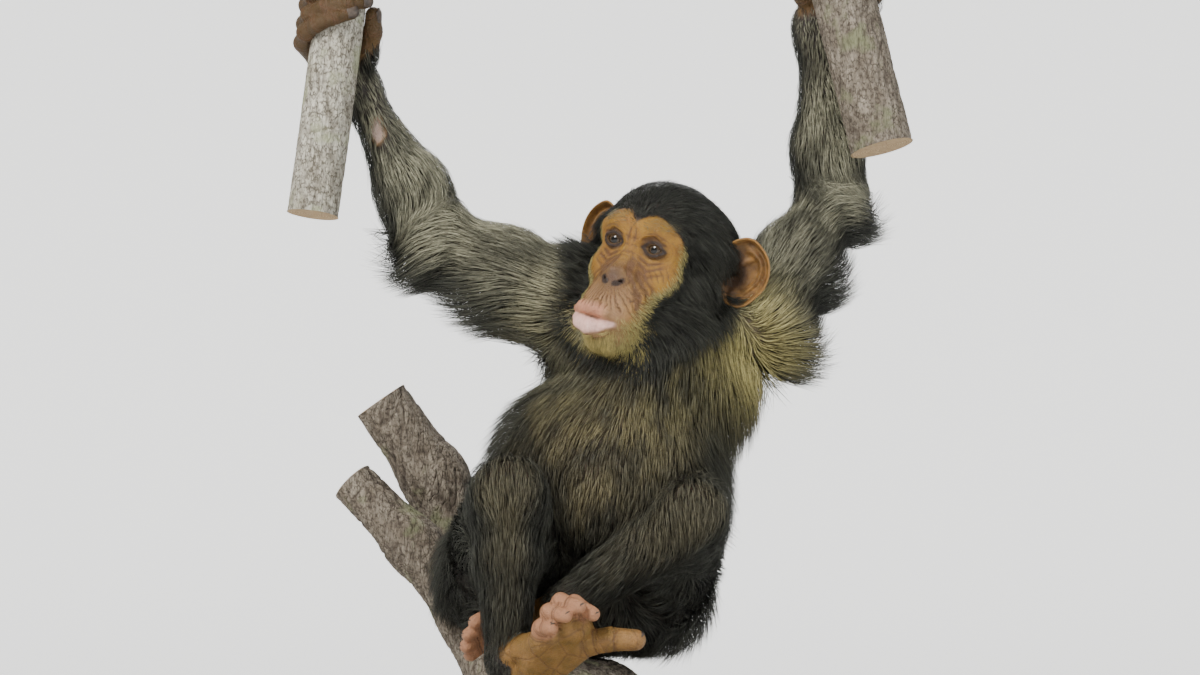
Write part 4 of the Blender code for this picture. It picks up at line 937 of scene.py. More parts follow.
def body_marks(points, normals, on_head_share):
    """Yellowish hair on chest and shoulders, brown on the belly; brown on the knees and grey on the arms
    only where they face front and up, as painted sheen; painted shade on the torso's turned sides, where
    the thighs meet it and in the navel.
    """
    local = in_torso(points, CHEST)
    chest = spot(local, (0, 0, 0), (0.085, 1, 0.075))
    sternum = spot(local, (0, 0, 0.012), (0.026, 1, 0.062))
    belly = spot(in_torso(points, BELLY), (0, 0, 0), (0.075, 1, 0.085))
    arms, legs = limb_shares(points)
    left, right = shoulder_share(points, "left"), shoulder_share(points, "right")
    knees = np.maximum(*(spot(points, np.array(KNEE[side]) + (0, -0.01, 0), 0.052) for side in SIDES))
    # Painted light: grey on the arms and legs and brown on the knees are laid only on faces turned to
    # the front and up, as painted sheen.
    lit = ramp(-normals[:, 1] + 0.55 * normals[:, 2], 0.30, 0.95)
    mottled = ramp(wander(points * (1, 1, 0.4), 14 * MM, 14.0), -0.40, 0.40)
    # Painted shade: the chest's yellowish hair and the belly's brown fade where the torso's surface
    # turns to its sides.
    side_shade = ramp(np.abs(normals @ np.array(TORSO_TURN)[:, 0]), 0.50, 0.85)
    front = ramp(-local[:, 1], -0.010, 0.035) * (1 - 0.85 * side_shade)
    # Painted shade: the coat's colours are taken out where the thighs meet the belly and in the navel.
    plain = 1 - 0.9 * painted_crease_shade(points, front)
    body = (1 - on_head_share) * (1 - 0.85 * legs)
    golden = 0.30 * chest * (1 - 0.95 * sternum) * front * (0.05 + 0.95 * mottled)
    golden += 1.3 * left + 0.25 * right
    brown = 0.85 * body * belly * front * (0.35 + 0.65 * mottled)
    brown = brown + (0.28 * knees + 0.07 * legs * mottled) * lit
    grey = (0.05 * legs + 1.25 * (1 - on_head_share) * arms * (0.35 + 0.65 * mottled)) * lit
    return {
        "olive": np.clip(body * golden * plain, 0, 1),
        "brown": np.clip(brown * plain, 0, 1),
        "grey": np.clip(grey * plain + 0.9 * right * body, 0, 1),
    }


def head_hair_marks(points, on_head_share):
    """Pale hair on the chin, black on the rest of the head."""
    lateral, forward, up = in_head(points).T
    chin = ramp(-up, 80, 90) * ramp(up, -107, -97) * ramp(forward, 34, 52)
    pale = np.clip(chin * ramp(np.abs(lateral + 6), 20, 12), 0, 1)
    return {"pale": pale * on_head_share, "black": np.clip(on_head_share * (1 - chin), 0, 1)}


def lower_lip_edge(lateral):
    """How high the lower lip's edge lies at each place across the face."""
    at = np.array(LOWER_LIP).T
    return np.interp(lateral, at[0], at[2] - 0.95 * np.array(LOWER_RADII))


def face_marks(points):
    """Rosier on the nose and the upper lip, and pale on the lower lip."""
    lateral, forward, up = in_head(points).T
    face = ramp(face_margin(points), -FINE_EDGE, FINE_EDGE)
    rosy = ramp(from_lip(points, UPPER_LIP, UPPER_RADII), 3.4, -0.2) * ramp(lateral, 14, 2)
    rosy *= ramp(-up, 58.5, 66)
    nose = np.exp(-((np.hypot(lateral / 17, (up + 36) / 17)) ** 2))
    muzzle = ramp(-up, 34, 48) * ramp(np.abs(lateral), 36, 14) * ramp(forward, 50, 66)
    lip_front = np.interp(lateral, *np.array(LOWER_LIP).T[:2]) - 5
    lip = ramp(up - lower_lip_edge(lateral), -1.4, 2.6) * ramp(forward - lip_front, -3, 0)
    return {
        "rosy": np.clip(face * rosy, 0, 1),
        "nose": np.clip(face * nose, 0, 1),
        "muzzle": np.clip(face * muzzle * (1 - nose), 0, 1),
        "lip": face * lip * ramp(-up, 74, 77) * ramp(lateral, 18, 14),
    }


def from_path(places, path):
    """Distance of each place from the nearest piece of a path."""
    return np.minimum.reduce([to_segment(places, *ends)[0] for ends in zip(path, path[1:])])


def dark_marks(points):
    """The lids' dark skin and the skin round the eyes, darkened further as painted shade in the sockets,
    and painted shade in the insides of the nostrils.
    """
    lateral, forward, up = in_head(points).T
    eye_side = np.abs(lateral) - EYE_APART / 2
    round_eye = np.hypot(eye_side, (up - EYE_UP) * 1.25)
    sockets = ramp(round_eye, 13.5, 9.8) * ramp(forward, 30, 40)
    nostril = from_path(np.stack([np.abs(lateral), up], axis=1), [hole[::2] for hole in NOSTRIL])
    holes = ramp(nostril, 3.6, 1.8) * ramp(forward, 58, 66)
    places = np.stack([eye_side, up], axis=1)
    arcs = [[(x - EYE_APART / 2, z) for x, _, z in lid_arc(1, lift)] for lift in LID_LIFTS]
    lids = np.minimum(*(from_path(places, arc) for arc in arcs))
    rims = ramp(lids, 2.9, 1.0) * ramp(forward, 30, 40)
    # Painted shade: the sockets under the brows, the lids' edges in part, and the insides of the
    # nostrils are darkened.
    return np.clip(np.maximum.reduce([sockets * 0.75, rims, holes]), 0, 1)


def toe_marks(points):
    """1 on the toes, whose skin is lighter than the sole's."""
    toes = np.full(len(points), 9.0)
    for side in SIDES:
        for _, knuckle, tip in TOES[side]:
            toes = np.minimum(toes, to_segment(points, knuckle, tip)[0])
        toes = np.minimum(toes, to_segment(points, *BIG_TOE[side][1:])[0] + 3 * MM)
    return ramp(toes, 14 * MM, 8 * MM)


def mark_values(points, normals):
    """The markings of skin and coat, painted light and shade among them, as shares from 0 to 1, from
    smooth shapes on the body.
    """
    on_head_share = ramp(HEAD_FLESH.distance(points), 24 * MM, 9 * MM)
    face = ramp(face_margin(points), -FINE_EDGE, FINE_EDGE)
    folds = np.clip(1.4 * face_folds_near(points) * face, 0, 1) ** 1.2
    return {
        **body_marks(points, normals, on_head_share),
        **head_hair_marks(points, on_head_share),
        "bare": bare(points),
        **face_marks(points),
        "patch": ramp(in_patch(points), -3 * MM, 4 * MM),
        "dark": dark_marks(points),
        # Painted shade in the face's folds and the digits' creases.
        "fold": np.clip(folds + 0.9 * digit_creases(points), 0, 1),
        "toe": toe_marks(points),
        "hand": near_hand(points),
        "foot": near_foot(points),
    }


def from_lip(points, path, radii):
    """Millimetres from a lip's own form."""
    away = np.full(len(points), FAR)
    for form in arc_on_head(path, radii):
        near = close_to(points, form, 0.01)
        away[near] = np.minimum(away[near], form.distance(points[near]))
    return away / MM


def face_folds_near(points):
    """The face's folds where there are any, without working them out for the whole body."""
    total = np.zeros(len(points))
    near = np.flatnonzero((face_margin(points) > -6) & (in_head(points)[:, 1] > 20))
    total[near] = face_folds(points[near])
    return total


def put_values(mesh, name, values):
    """A value for each vertex, read by the material."""
    made = mesh.attributes.new(name, "FLOAT", "POINT")
    made.data.foreach_set("value", np.asarray(values, np.float32))


SKIN_MARKS = mark_values(SKIN_POINTS, SKIN_NORMALS)
for mark_name, mark in SKIN_MARKS.items():
    put_values(skin.data, mark_name, mark)


# ---------------------------------------------------------------- materials
LIGHT_REACH = (0.006, 0.002, 0.001)  # how far red, green and blue light go into skin


class Paint:
    """A material, with short calls that add its nodes."""

    def __init__(self, name, **sockets):
        self.material = bpy.data.materials.new(name)
        self.material.use_nodes = True
        self.tree = self.material.node_tree
        self.shader = self.tree.nodes["Principled BSDF"]
        self.coordinates = self.tree.nodes.new("ShaderNodeTexCoord").outputs["Object"]
        for socket, value in sockets.items():
            self.shader.inputs[socket.replace("_", " ")].default_value = value

    def soften(self, share):
        """Lets light into the skin, red the farthest."""
        self.shader.inputs["Subsurface Weight"].default_value = share
        self.shader.inputs["Subsurface Radius"].default_value = LIGHT_REACH

    def add(self, kind, inputs, **settings):
        made = self.tree.nodes.new("ShaderNode" + kind)
        for setting, value in settings.items():
            setattr(made, setting, value)
        for socket, value in inputs.items():
            if isinstance(value, bpy.types.NodeSocket):
                self.tree.links.new(value, made.inputs[socket])
            else:
                made.inputs[socket].default_value = value
        return made

    def value(self, name):
        """One of the values that the mesh carries at its vertices."""
        return self.add("Attribute", {}, attribute_name=name).outputs["Fac"]

    def where(self, stretch):
        """The place on the object, stretched along its three ways where that is given."""
        if not stretch:
            return self.coordinates
        inputs = {"Vector": self.coordinates, "Scale": stretch}
        return self.add("Mapping", inputs).outputs["Vector"]

    def noise(self, size, detail=3.0, rough=0.55, stretch=None):
        """Noise from 0 to 1 whose features are about size metres across."""
        inputs = {"Scale": 1 / size, "Detail": detail, "Roughness": rough}
        return self.add("TexNoise", {"Vector": self.where(stretch), **inputs}).outputs["Fac"]

    def cells(self, size, feature="DISTANCE_TO_EDGE", stretch=None):
        """Distance from the edges, or with F1 from the middles, of cells about size across."""
        inputs = {"Vector": self.where(stretch), "Scale": 1 / size}
        return self.add("TexVoronoi", inputs, feature=feature).outputs["Distance"]

    def math(self, operation, first, second=0.0):
        return self.add("Math", {0: first, 1: second}, operation=operation).outputs[0]

    def times(self, first, second):
        return self.math("MULTIPLY", first, second)

    def spread(self, value, low, high, to_low=0.0, to_high=1.0):
        """The value rescaled from low-high to the given range, and kept inside it."""
        inputs = {"Value": value, "From Min": low, "From Max": high}
        inputs |= {"To Min": to_low, "To Max": to_high}
        return self.add("MapRange", inputs).outputs["Result"]

    def mix(self, share, first, second):
        made = self.add("Mix", {}, data_type="RGBA")
        sockets = (made.inputs["Factor"], made.inputs[6], made.inputs[7])
        for socket, value in zip(sockets, (share, first, second)):
            if isinstance(value, bpy.types.NodeSocket):
                self.tree.links.new(value, socket)
            elif isinstance(value, (int, float)):
                socket.default_value = value
            else:
                socket.default_value = (*value, 1)
        return made.outputs[2]

    def bump(self, height, depth, below=None):
        """A bump that is depth metres high where height goes from 0 to 1."""
        inputs = {"Height": height, "Distance": depth, "Strength": 1.0}
        if below:
            inputs["Normal"] = below
        return self.add("Bump", inputs).outputs["Normal"]

    def finish(self, colour, normal=None, rough=None):
        self.tree.links.new(colour, self.shader.inputs["Base Color"])
        if normal:
            self.tree.links.new(normal, self.shader.inputs["Normal"])
        if rough:
            self.tree.links.new(rough, self.shader.inputs["Roughness"])
        return self.material


TAN = (0.345, 0.182, 0.022)
OCHRE = (0.25, 0.112, 0.018)
NOSE_SKIN = (0.105, 0.060, 0.038)
MUZZLE_SKIN = (0.400, 0.245, 0.145)
TOE_SKIN = (0.420, 0.200, 0.105)
ROSE = (0.54, 0.245, 0.150)
LIP_PINK = (0.78, 0.475, 0.405)
PATCH_SKIN = (0.340, 0.250, 0.210)
DARK_SKIN_AND_SHADE = (0.030, 0.016, 0.010)
# The crease colour is painted shade in folds and creases, and also darkens the skin's fine grain at
# random.
CREASE_SHADE_AND_GRAIN = (0.105, 0.048, 0.020)
HAND_SKIN = (0.064, 0.034, 0.007)
SOLE_SKIN = (0.180, 0.100, 0.019)
SOLE_LIGHT = (0.300, 0.155, 0.042)
UNDER_COAT = (0.030, 0.024, 0.019)
UNDER_WARM = (0.130, 0.098, 0.060)
UNDER_PALE = (0.300, 0.205, 0.070)
FRECKLE = (0.170, 0.085, 0.040)


def sole_and_palm(paint):
    """The creases of palms and soles, from 0 to 1, without the toes."""
    palm = paint.math("MAXIMUM", paint.value("hand"), paint.value("foot"))
    palm = paint.math("SUBTRACT", palm, paint.value("toe"))
    lines = paint.spread(paint.cells(0.021, stretch=(1, 1, 0.6)), 0.055, 0.0)
    return paint.times(lines, palm)


def freckles(paint):
    """Small round flecks, in loose groups."""
    flecks = paint.spread(paint.cells(0.0042, "F1"), 0.16, 0.05)
    groups = paint.spread(paint.noise(0.020), 0.46, 0.62)
    return paint.times(paint.times(flecks, groups), 0.55)


def skin_material():
    """Bare skin in its several colours with painted shade in its folds, creases, eye sockets and
    nostrils, and the dark skin under the coat.
    """
    paint = Paint("bare_skin", Roughness=0.52, Specular_IOR_Level=0.42)
    paint.soften(0.06)
    blotches = paint.spread(paint.noise(0.013, 4.0, 0.6), 0.34, 0.68)
    grain = paint.noise(0.0022, 5.0, 0.65)
    lines = sole_and_palm(paint)
    foot = paint.mix(paint.value("toe"), paint.mix(blotches, SOLE_SKIN, SOLE_LIGHT), TOE_SKIN)
    colour = paint.mix(blotches, TAN, OCHRE)
    for share, skin_colour in (
        (paint.times(paint.value("muzzle"), 0.65), MUZZLE_SKIN),
        (paint.value("nose"), NOSE_SKIN),
        (paint.value("hand"), HAND_SKIN),
        (paint.value("foot"), foot),
        # Painted shade: the creases of palms and soles and, below, the face's folds and the digits'
        # creases are darkened.
        (paint.times(lines, 0.5), CREASE_SHADE_AND_GRAIN),
        (freckles(paint), FRECKLE),
        (paint.spread(grain, 0.35, 0.62, 0.22, 0.0), CREASE_SHADE_AND_GRAIN),
        (paint.value("rosy"), ROSE),
        (paint.value("lip"), LIP_PINK),
        (paint.value("patch"), PATCH_SKIN),
        (paint.times(paint.value("fold"), 0.85), CREASE_SHADE_AND_GRAIN),
        (paint.value("dark"), DARK_SKIN_AND_SHADE),
    ):
        colour = paint.mix(share, colour, skin_colour)
    # Under the coat the skin follows the olive and brown, whose brown on the knees is painted sheen.
    warm = paint.math("ADD", paint.value("olive"), paint.value("brown"))
    under = paint.mix(paint.math("MINIMUM", warm, 1.0), UNDER_COAT, UNDER_WARM)
    under = paint.mix(paint.value("pale"), under, UNDER_PALE)
    colour = paint.mix(paint.value("bare"), under, colour)
    normal = paint.bump(paint.noise(0.006, 4.0), 0.0011)
    normal = paint.bump(paint.spread(paint.cells(0.0026), 0.0, 0.16), 0.00032, normal)
    normal = paint.bump(paint.math("SUBTRACT", 1.0, lines), 0.0004, normal)
    normal = paint.bump(paint.spread(paint.cells(0.0011), 0.0, 0.2), 0.00012, normal)
    return paint.finish(colour, normal, paint.spread(grain, 0.3, 0.7, 0.42, 0.60))


HAIR_BLACK = (0.0070, 0.0065, 0.0055)
# The tips' greenish grey is partly the hair's own, partly painted sheen.
HAIR_TIP_AND_SHEEN = (0.094, 0.098, 0.078)
HAIR_OLIVE = (0.820, 0.700, 0.260)
HAIR_BROWN = (0.450, 0.375, 0.200)
HAIR_GREY = (0.600, 0.575, 0.400)
HAIR_PALE = (0.720, 0.580, 0.220)


def coat_material():
    """Black hair with lighter greenish tips, partly painted sheen, warmer on the chest and arms, pale on
    the chin.
    """
    paint = Paint("coat", Roughness=0.5, Specular_IOR_Level=0.28)
    along, tint = paint.value("along"), paint.value("tint")
    light = paint.spread(along, 0, 0.8, 0.25, 1.0)
    light = paint.times(light, paint.spread(tint, 0, 1, 0.5, 1.0))
    plain = paint.spread(along, 0, 0.8, 0.1, 1.0)
    plain = paint.times(plain, paint.spread(tint, 0.3, 1, 0.15, 1.0))
    plain = paint.times(plain, paint.spread(paint.value("black"), 0, 1, 1.0, 0.8))
    colour = paint.mix(plain, HAIR_BLACK, HAIR_TIP_AND_SHEEN)
    streak = paint.spread(paint.noise(0.004, 2.0), 0.3, 0.7, 0.6, 1.0)
    light = paint.times(light, streak)
    # Grey and brown bring in the painted sheen laid on faces turned front and up.
    for share, hair in (("grey", HAIR_GREY), ("brown", HAIR_BROWN), ("olive", HAIR_OLIVE)):
        colour = paint.mix(paint.times(paint.value(share), light), colour, hair)
    pale = paint.times(paint.value("pale"), paint.spread(tint, 0.1, 0.9, 0.5, 1.0))
    colour = paint.mix(pale, colour, HAIR_PALE)
    return paint.finish(colour, rough=paint.spread(tint, 0, 1, 0.40, 0.58))


skin.data.materials.append(skin_material())
COAT = coat_material()


# ---------------------------------------------------------------- the lie of the coat
# For the halves of each limb: where they start and end, their radius, and which way hair lies.
LIMB_PARTS = (
    (SHOULDER, ELBOW, 0.030, 1),
    (ELBOW, WRIST, 0.020, -1),
    (HIP, KNEE, 0.044, 1),
    (KNEE, ANKLE, 0.024, 1),
)


def part_weights(points):
    """How much each body part rules the coat at each point, and its lie there."""
    local = in_torso(points, CHEST)
    down = np.stack([4.5 * local[:, 0], 0 * local[:, 1], -1 + 0 * local[:, 2]], axis=1)
    brow, mouth = np.array(on_head(0, 62, 20)), np.array(on_head(0, 74, -62))
    low = ramp(-in_head(points)[:, 2], 26, 60)[:, None]
    head_lie = unit(points - brow) * (1 - low) + unit(points - mouth) * low
    neck_lie = np.array((0, 0, -1.0)) + 3 * (points - np.array(NECK[1])) * (1, 1, 0)
    neck, _ = to_segment(points, *NECK)
    plan = [
        (TORSO.distance(points), down @ np.array(TORSO_TURN).T),
        (HEAD_FLESH.distance(points), head_lie),
        (neck - NECK_RADIUS + 4 * MM, neck_lie),
    ]
    for side in SIDES:
        for starts, ends, radius, lies in LIMB_PARTS:
            away, _ = to_segment(points, starts[side], ends[side])
            way = np.array(ends[side] - starts[side]) * lies
            plan.append((away - radius, np.broadcast_to(way, points.shape)))
    weights = np.stack([np.exp(-np.clip(away, -0.004, 0.2) / (8 * MM)) for away, _ in plan])
    weights /= weights.sum(axis=0)
    lie = sum(weight[:, None] * unit(np.array(ways)) for weight, (_, ways) in zip(weights, plan))
    # Where the hair of a limb's two halves meets, it turns down, and at the elbow outwards.
    for side in SIDES:
        outwards = -1 if side == "right" else 1
        elbow, knee = spot(points, ELBOW[side], 0.034), spot(points, KNEE[side], 0.050)
        lie += 0.9 * elbow[:, None] * np.array((0.3 * outwards, 0, -1))
        lie += 3.0 * knee[:, None] * np.array((0, -0.2, -1))
    return weights, lie


# For each body part: the coat's length and its height over the skin, in millimetres.
PART_COAT = (("torso", 34, 12), ("head", 24, 8), ("neck", 32, 10)) + 2 * (
    ("upper_arm", 32, 10), ("forearm", 30, 8), ("thigh", 34, 11), ("shin", 27, 9)
)


class CoatPlan:
    """Works out how the coat grows at each point of the skin, one region after another."""

    def __init__(self, points, normals):
        self.points, self.normals = points, normals
        self.lateral, self.forward, self.up = in_head(points).T
        self.margin = face_margin(points)
        weights, self.lie = part_weights(points)
        self.length = sum(w * values[1] for w, values in zip(weights, PART_COAT)) * MM
        self.height = sum(w * values[2] for w, values in zip(weights, PART_COAT)) * MM
        self.torso, self.head = weights[:2]
        arm_parts = ("upper_arm", "forearm")
        self.arm = sum(w for w, (part, *_) in zip(weights, PART_COAT) if part in arm_parts)
        self.close = 1 - bare(points)

    def stretch(self, length, height):
        self.length *= length
        self.height *= height

    def cover_skull(self):
        """Short over the brow, longer to the temples."""
        crown = ramp(self.up, 5, 30) * ramp(-self.forward, -60, 10)
        front = ramp(self.margin, -26, -2)
        self.stretch(1 - self.head * (0.30 * crown + 0.62 * front), 1 - self.head * 0.70 * front)
        temple = self.head * ramp(np.abs(self.lateral), 30, 48) * ramp(self.forward, 44, 20)
        temple *= ramp(self.up, 34, 8)
        self.stretch(1 + 0.25 * temple, 1 + 0.6 * temple)

    def cover_cheeks(self):
        """Long whiskers that stand out, all but before the left ear, and hang at the far cheek."""
        whisker = self.head * ramp(np.abs(self.lateral), 34, 46) * ramp(self.forward, 46, 30)
        whisker *= ramp(self.forward, -26, -8) * ramp(self.up, 26, 8) * ramp(self.up, -92, -70)
        whisker *= ramp(self.margin, -2, -8)
        left_ear = spot(self.points, on_head(52, -12, -12), 0.032) * ramp(self.forward, -22, -6)
        whisker *= 1 - 0.8 * left_ear
        far_cheek = whisker * ramp(-self.lateral, 20, 40) * ramp(self.up, 14, 0)
        self.stretch(
            (1 + 0.55 * whisker) * (1 - 0.35 * left_ear), 1 + 2.2 * whisker + 0.5 * far_cheek
        )
        head_left, _, head_up = np.array(HEAD_TURN).T
        outwards = np.sign(self.lateral)[:, None] * head_left
        self.lie = self.lie + (0.7 * whisker + 0.6 * far_cheek)[:, None] * outwards
        self.lie = self.lie - (0.9 * far_cheek + 2.2 * left_ear)[:, None] * head_up
        self.lift = 0.6 * whisker + 0.10 * self.head

    def cover_arms_and_flanks(self):
        """Fringes that hang under the arms and stand off the flanks."""
        under = self.arm * ramp(-self.normals[:, 2], -0.1, 0.8)
        self.stretch(1 + 0.95 * under, 1 + 2.0 * under)
        across_torso = np.abs(self.normals @ np.array(TORSO_TURN)[:, 0])
        flank = self.torso * ramp(across_torso, 0.50, 0.90)
        self.stretch(1 + 0.45 * flank, 1 + 2.4 * flank)
        self.hang = 0.15 + 0.75 * under + 0.20 * flank
        self.lift = self.lift + 0.8 * flank

    def cover_hands_and_feet(self):
        """Shorter towards the wrists and ankles, and shortest on the backs of the hands."""
        for side in SIDES:
            wrist = ramp(away_from(self.points, WRIST[side]), 0.015, 0.080)
            self.stretch(0.28 + 0.72 * wrist, 0.35 + 0.65 * wrist)
            ankle = ramp(away_from(self.points, ANKLE[side]), 0.010, 0.050)
            self.stretch(0.38 + 0.62 * ankle, 0.40 + 0.60 * ankle)
        hand = near_hand(self.points)
        self.stretch(1 - 0.72 * hand, 1 - 0.70 * hand)

    def cover_belly_and_chin(self):
        """Thinner and shorter on the belly's front, and a short beard."""
        belly = spot(in_torso(self.points, BELLY), (0, 0, 0), (0.070, 0.2, 0.075))
        belly *= self.normals[:, 1] < -0.2
        self.stretch(1 - 0.30 * belly, 1 - 0.35 * belly)
        beard = self.head * ramp(-self.up, 88, 93) * ramp(self.forward, 40, 52)
        beard *= ramp(np.abs(self.lateral), 30, 22)
        self.length += beard * (13 * MM - self.length)
        self.height += beard * (7 * MM - self.height)
        self.close *= (1 + 0.9 * self.head) * (1 - 0.25 * belly) * (1 - 0.5 * beard)
        self.lift = self.lift + 0.35 * beard

    def values(self):
        """For each point: lie, length, height, share that hangs, closeness and lift."""
        self.cover_skull()
        self.cover_cheeks()
        self.cover_arms_and_flanks()
        self.cover_hands_and_feet()
        self.cover_belly_and_chin()
        uneven = 0.25 * wander_ways(self.points, 30 * MM, 2.0)
        self.lie = across(self.lie + uneven, self.normals)
        kept = ("lie", "length", "height", "hang", "close", "head", "lift")
        return {key: getattr(self, key) for key in kept}


def corners_of_triangles(mesh):
    mesh.calc_loop_triangles()
    corners = np.empty(len(mesh.loop_triangles) * 3, np.int32)
    mesh.loop_triangles.foreach_get("vertices", corners)
    return corners.reshape(-1, 3)


def scattered(triangles, wanted, count, chance):
    """Places spread over the triangles: the triangle's index and its corners' shares of each."""
    a, b, c = (SKIN_POINTS[triangles[:, i]] for i in range(3))
    area = np.linalg.norm(np.cross(b - a, c - a), axis=1) / 2
    weight = area * wanted[triangles].mean(axis=1)
    total = np.cumsum(weight)
    # Evenly spaced draws along the summed area are more even than free ones.
    draws = (np.arange(count) + chance.uniform(0, 1, count)) / count * total[-1]
    index = np.searchsorted(total, draws)
    first, second = chance.uniform(0, 1, (2, count))
    over = first + second > 1
    first, second = np.where(over, 1 - first, first), np.where(over, 1 - second, second)
    return index, np.stack([1 - first - second, first, second], axis=1)


def nearest_vertices(tree, points):
    return np.array([tree.find(point)[1] for point in points])


def tree_of(points):
    tree = KDTree(len(points))
    for i, point in enumerate(points):
        tree.insert(point, i)
    tree.balance()
    return tree


SKIN_TREE = tree_of(SKIN_POINTS)
# For a long and a short tuft, by its bends: the shares of its length at which it bends, with
# its tip, and its width at its root and each bend.
BENDS = {3: (0.30, 0.64, 1.0), 2: (0.46, 1.0)}
TUFT_WIDTHS = {3: (0.80, 1.0, 0.72), 2: (0.85, 1.0)}
ROOT_DEPTH = 1.2 * MM
STRAY_SHARE = 0.05  # of the tufts, which stand off the rest
LOCK_SHARE = 0.06  # of the tufts, which others are drawn to
LOCK_REACH = 14 * MM  # how far from such a tuft the others may grow


def grown(roots, normals, values, chance, bends):
    """The line of each tuft from root to tip, kept over the skin and along the lie."""
    count = len(roots)
    length = values["length"] * chance.uniform(0.72, 1.12, count)
    layer = chance.uniform(0.25, 1.0, count) ** 1.2
    turn = chance.normal(0, 0.16, count)
    side = np.cross(normals, values["lie"])
    lie = across(values["lie"] + side * turn[:, None], normals)
    lines = [roots - normals * ROOT_DEPTH]
    stray = chance.uniform(0, 1, count) < STRAY_SHARE
    lift = values["lift"] + 0.25 * stray
    rise = 0.25 + 0.35 * layer + lift
    fall = np.array((0, 0, -1.0)) * values["hang"][:, None]
    here, way, before = roots, unit(lie + normals * rise[:, None] + 0.9 * fall), 0.0
    for share in BENDS[bends]:
        here = here + way * (length * (share - before))[:, None]
        nearest = nearest_vertices(SKIN_TREE, here)
        out = SKIN_NORMALS[nearest]
        height = ((here - SKIN_POINTS[nearest]) * out).sum(axis=1)
        top = values["height"] * layer * share**0.6 * (1 + stray)
        low = 0.9 * MM + 0.35 * top
        loose = top + values["hang"] * length * 0.8
        here = here + out * (np.clip(height, low, loose) - height)[:, None]
        lines.append(here)
        flow = COAT_VALUES["lie"][nearest]
        way = unit(across(way, out) * 0.55 + flow * 0.45 + out * (0.02 + 0.7 * lift)[:, None])
        way = unit(way + 1.3 * share * fall)
        before = share
    return np.stack(lines, axis=1)


def gathered(lines, roots, chance, pull):
    """Draws the tips of neighbouring tufts together, so that they lie in locks."""
    count = len(roots)
    heads = chance.choice(count, max(1, int(count * LOCK_SHARE)), replace=False)
    own = heads[nearest_vertices(tree_of(roots[heads]), roots)]
    apart = roots[own] - roots
    far = np.linalg.norm(apart, axis=1)
    hold = pull * chance.uniform(0.4, 1.0, count) * ramp(far, LOCK_REACH, 8 * MM)
    bends = lines.shape[1] - 1
    for bend in range(1, bends + 1):
        shift = lines[own, bend] - lines[:, bend]
        lines[:, bend] += shift * (hold * (bend / bends) ** 1.3)[:, None]
    return lines


def tuft_corners(lines, widths, outs):
    """Three corners round each tuft's root and bends, and its tip."""
    bends = lines.shape[1] - 1
    rings = []
    for bend in range(bends):
        ahead = unit(lines[:, bend + 1] - lines[:, bend])
        side = unit(np.cross(ahead, outs))
        out = np.cross(side, ahead)
        half = (widths * TUFT_WIDTHS[bends][bend] / 2)[:, None]
        middle = lines[:, bend]
        rings += [middle - side * half, middle + side * half, middle + out * half * 0.75]
    return np.stack(rings + [lines[:, bends]], axis=1)


def tuft_faces(bends):
    """The triangles of one tuft: its root, its sides from bend to bend, and its tip."""
    faces = [(0, 2, 1)]
    for ring in range(0, 3 * bends - 3, 3):
        for i in range(3):
            j = (i + 1) % 3
            faces += [(ring + i, ring + j, ring + 3 + j), (ring + i, ring + 3 + j, ring + 3 + i)]
    last = 3 * bends - 3
    return faces + [(last + i, last + (i + 1) % 3, last + 3) for i in range(3)]


def tuft_mesh(name, lines, widths, outs, values):
    """Closed three-sided tufts along the lines, as one mesh."""
    count, bends = len(lines), lines.shape[1] - 1
    points = tuft_corners(lines, widths, outs)
    corners = points.shape[1]
    starts = corners * np.arange(count)[:, None, None]
    faces = (np.array(tuft_faces(bends))[None] + starts).reshape(-1)
    mesh = bpy.data.meshes.new(name)
    mesh.vertices.add(corners * count)
    mesh.vertices.foreach_set("co", points.astype(np.float32).ravel())
    mesh.loops.add(len(faces))
    mesh.loops.foreach_set("vertex_index", faces.astype(np.int32))
    mesh.polygons.add(len(faces) // 3)
    mesh.polygons.foreach_set("loop_start", np.arange(0, len(faces), 3, dtype=np.int32))
    shade_smooth(mesh)
    mesh.update(calc_edges=True)
    along = np.append(np.repeat(np.arange(bends) / bends, 3), 1.0)
    put_values(mesh, "along", np.tile(along, count))
    for key, value in values.items():
        put_values(mesh, key, np.repeat(value, corners))
    spread = np.tile(np.array([(0, 0), (1, 0), (0.5, 0)] * bends + [(0.5, 0)]), (count, 1))
    spread[:, 1] = np.tile(along, count)
    return mesh, faces, spread


BAKE_PATCH = 0.003  # the size of each tuft's patch on the unwrap
UNWRAP_TRIANGLES = 9000


def unwrapped_copy():
    """A light copy of the skin with an unwrap of its own shape."""
    copy = new_object("unwrap", skin.data.copy())
    fewer = copy.modifiers.new("Decimate", "DECIMATE")
    fewer.ratio = UNWRAP_TRIANGLES / max(1, 2 * len(skin.data.polygons))
    settled(copy)
    bpy.context.view_layer.objects.active = copy
    copy.select_set(True)
    bpy.ops.object.mode_set(mode="EDIT")
    bpy.ops.mesh.select_all(action="SELECT")
    bpy.ops.uv.smart_project(angle_limit=math.radians(72), island_margin=0.004)
    bpy.ops.object.mode_set(mode="OBJECT")
    return copy


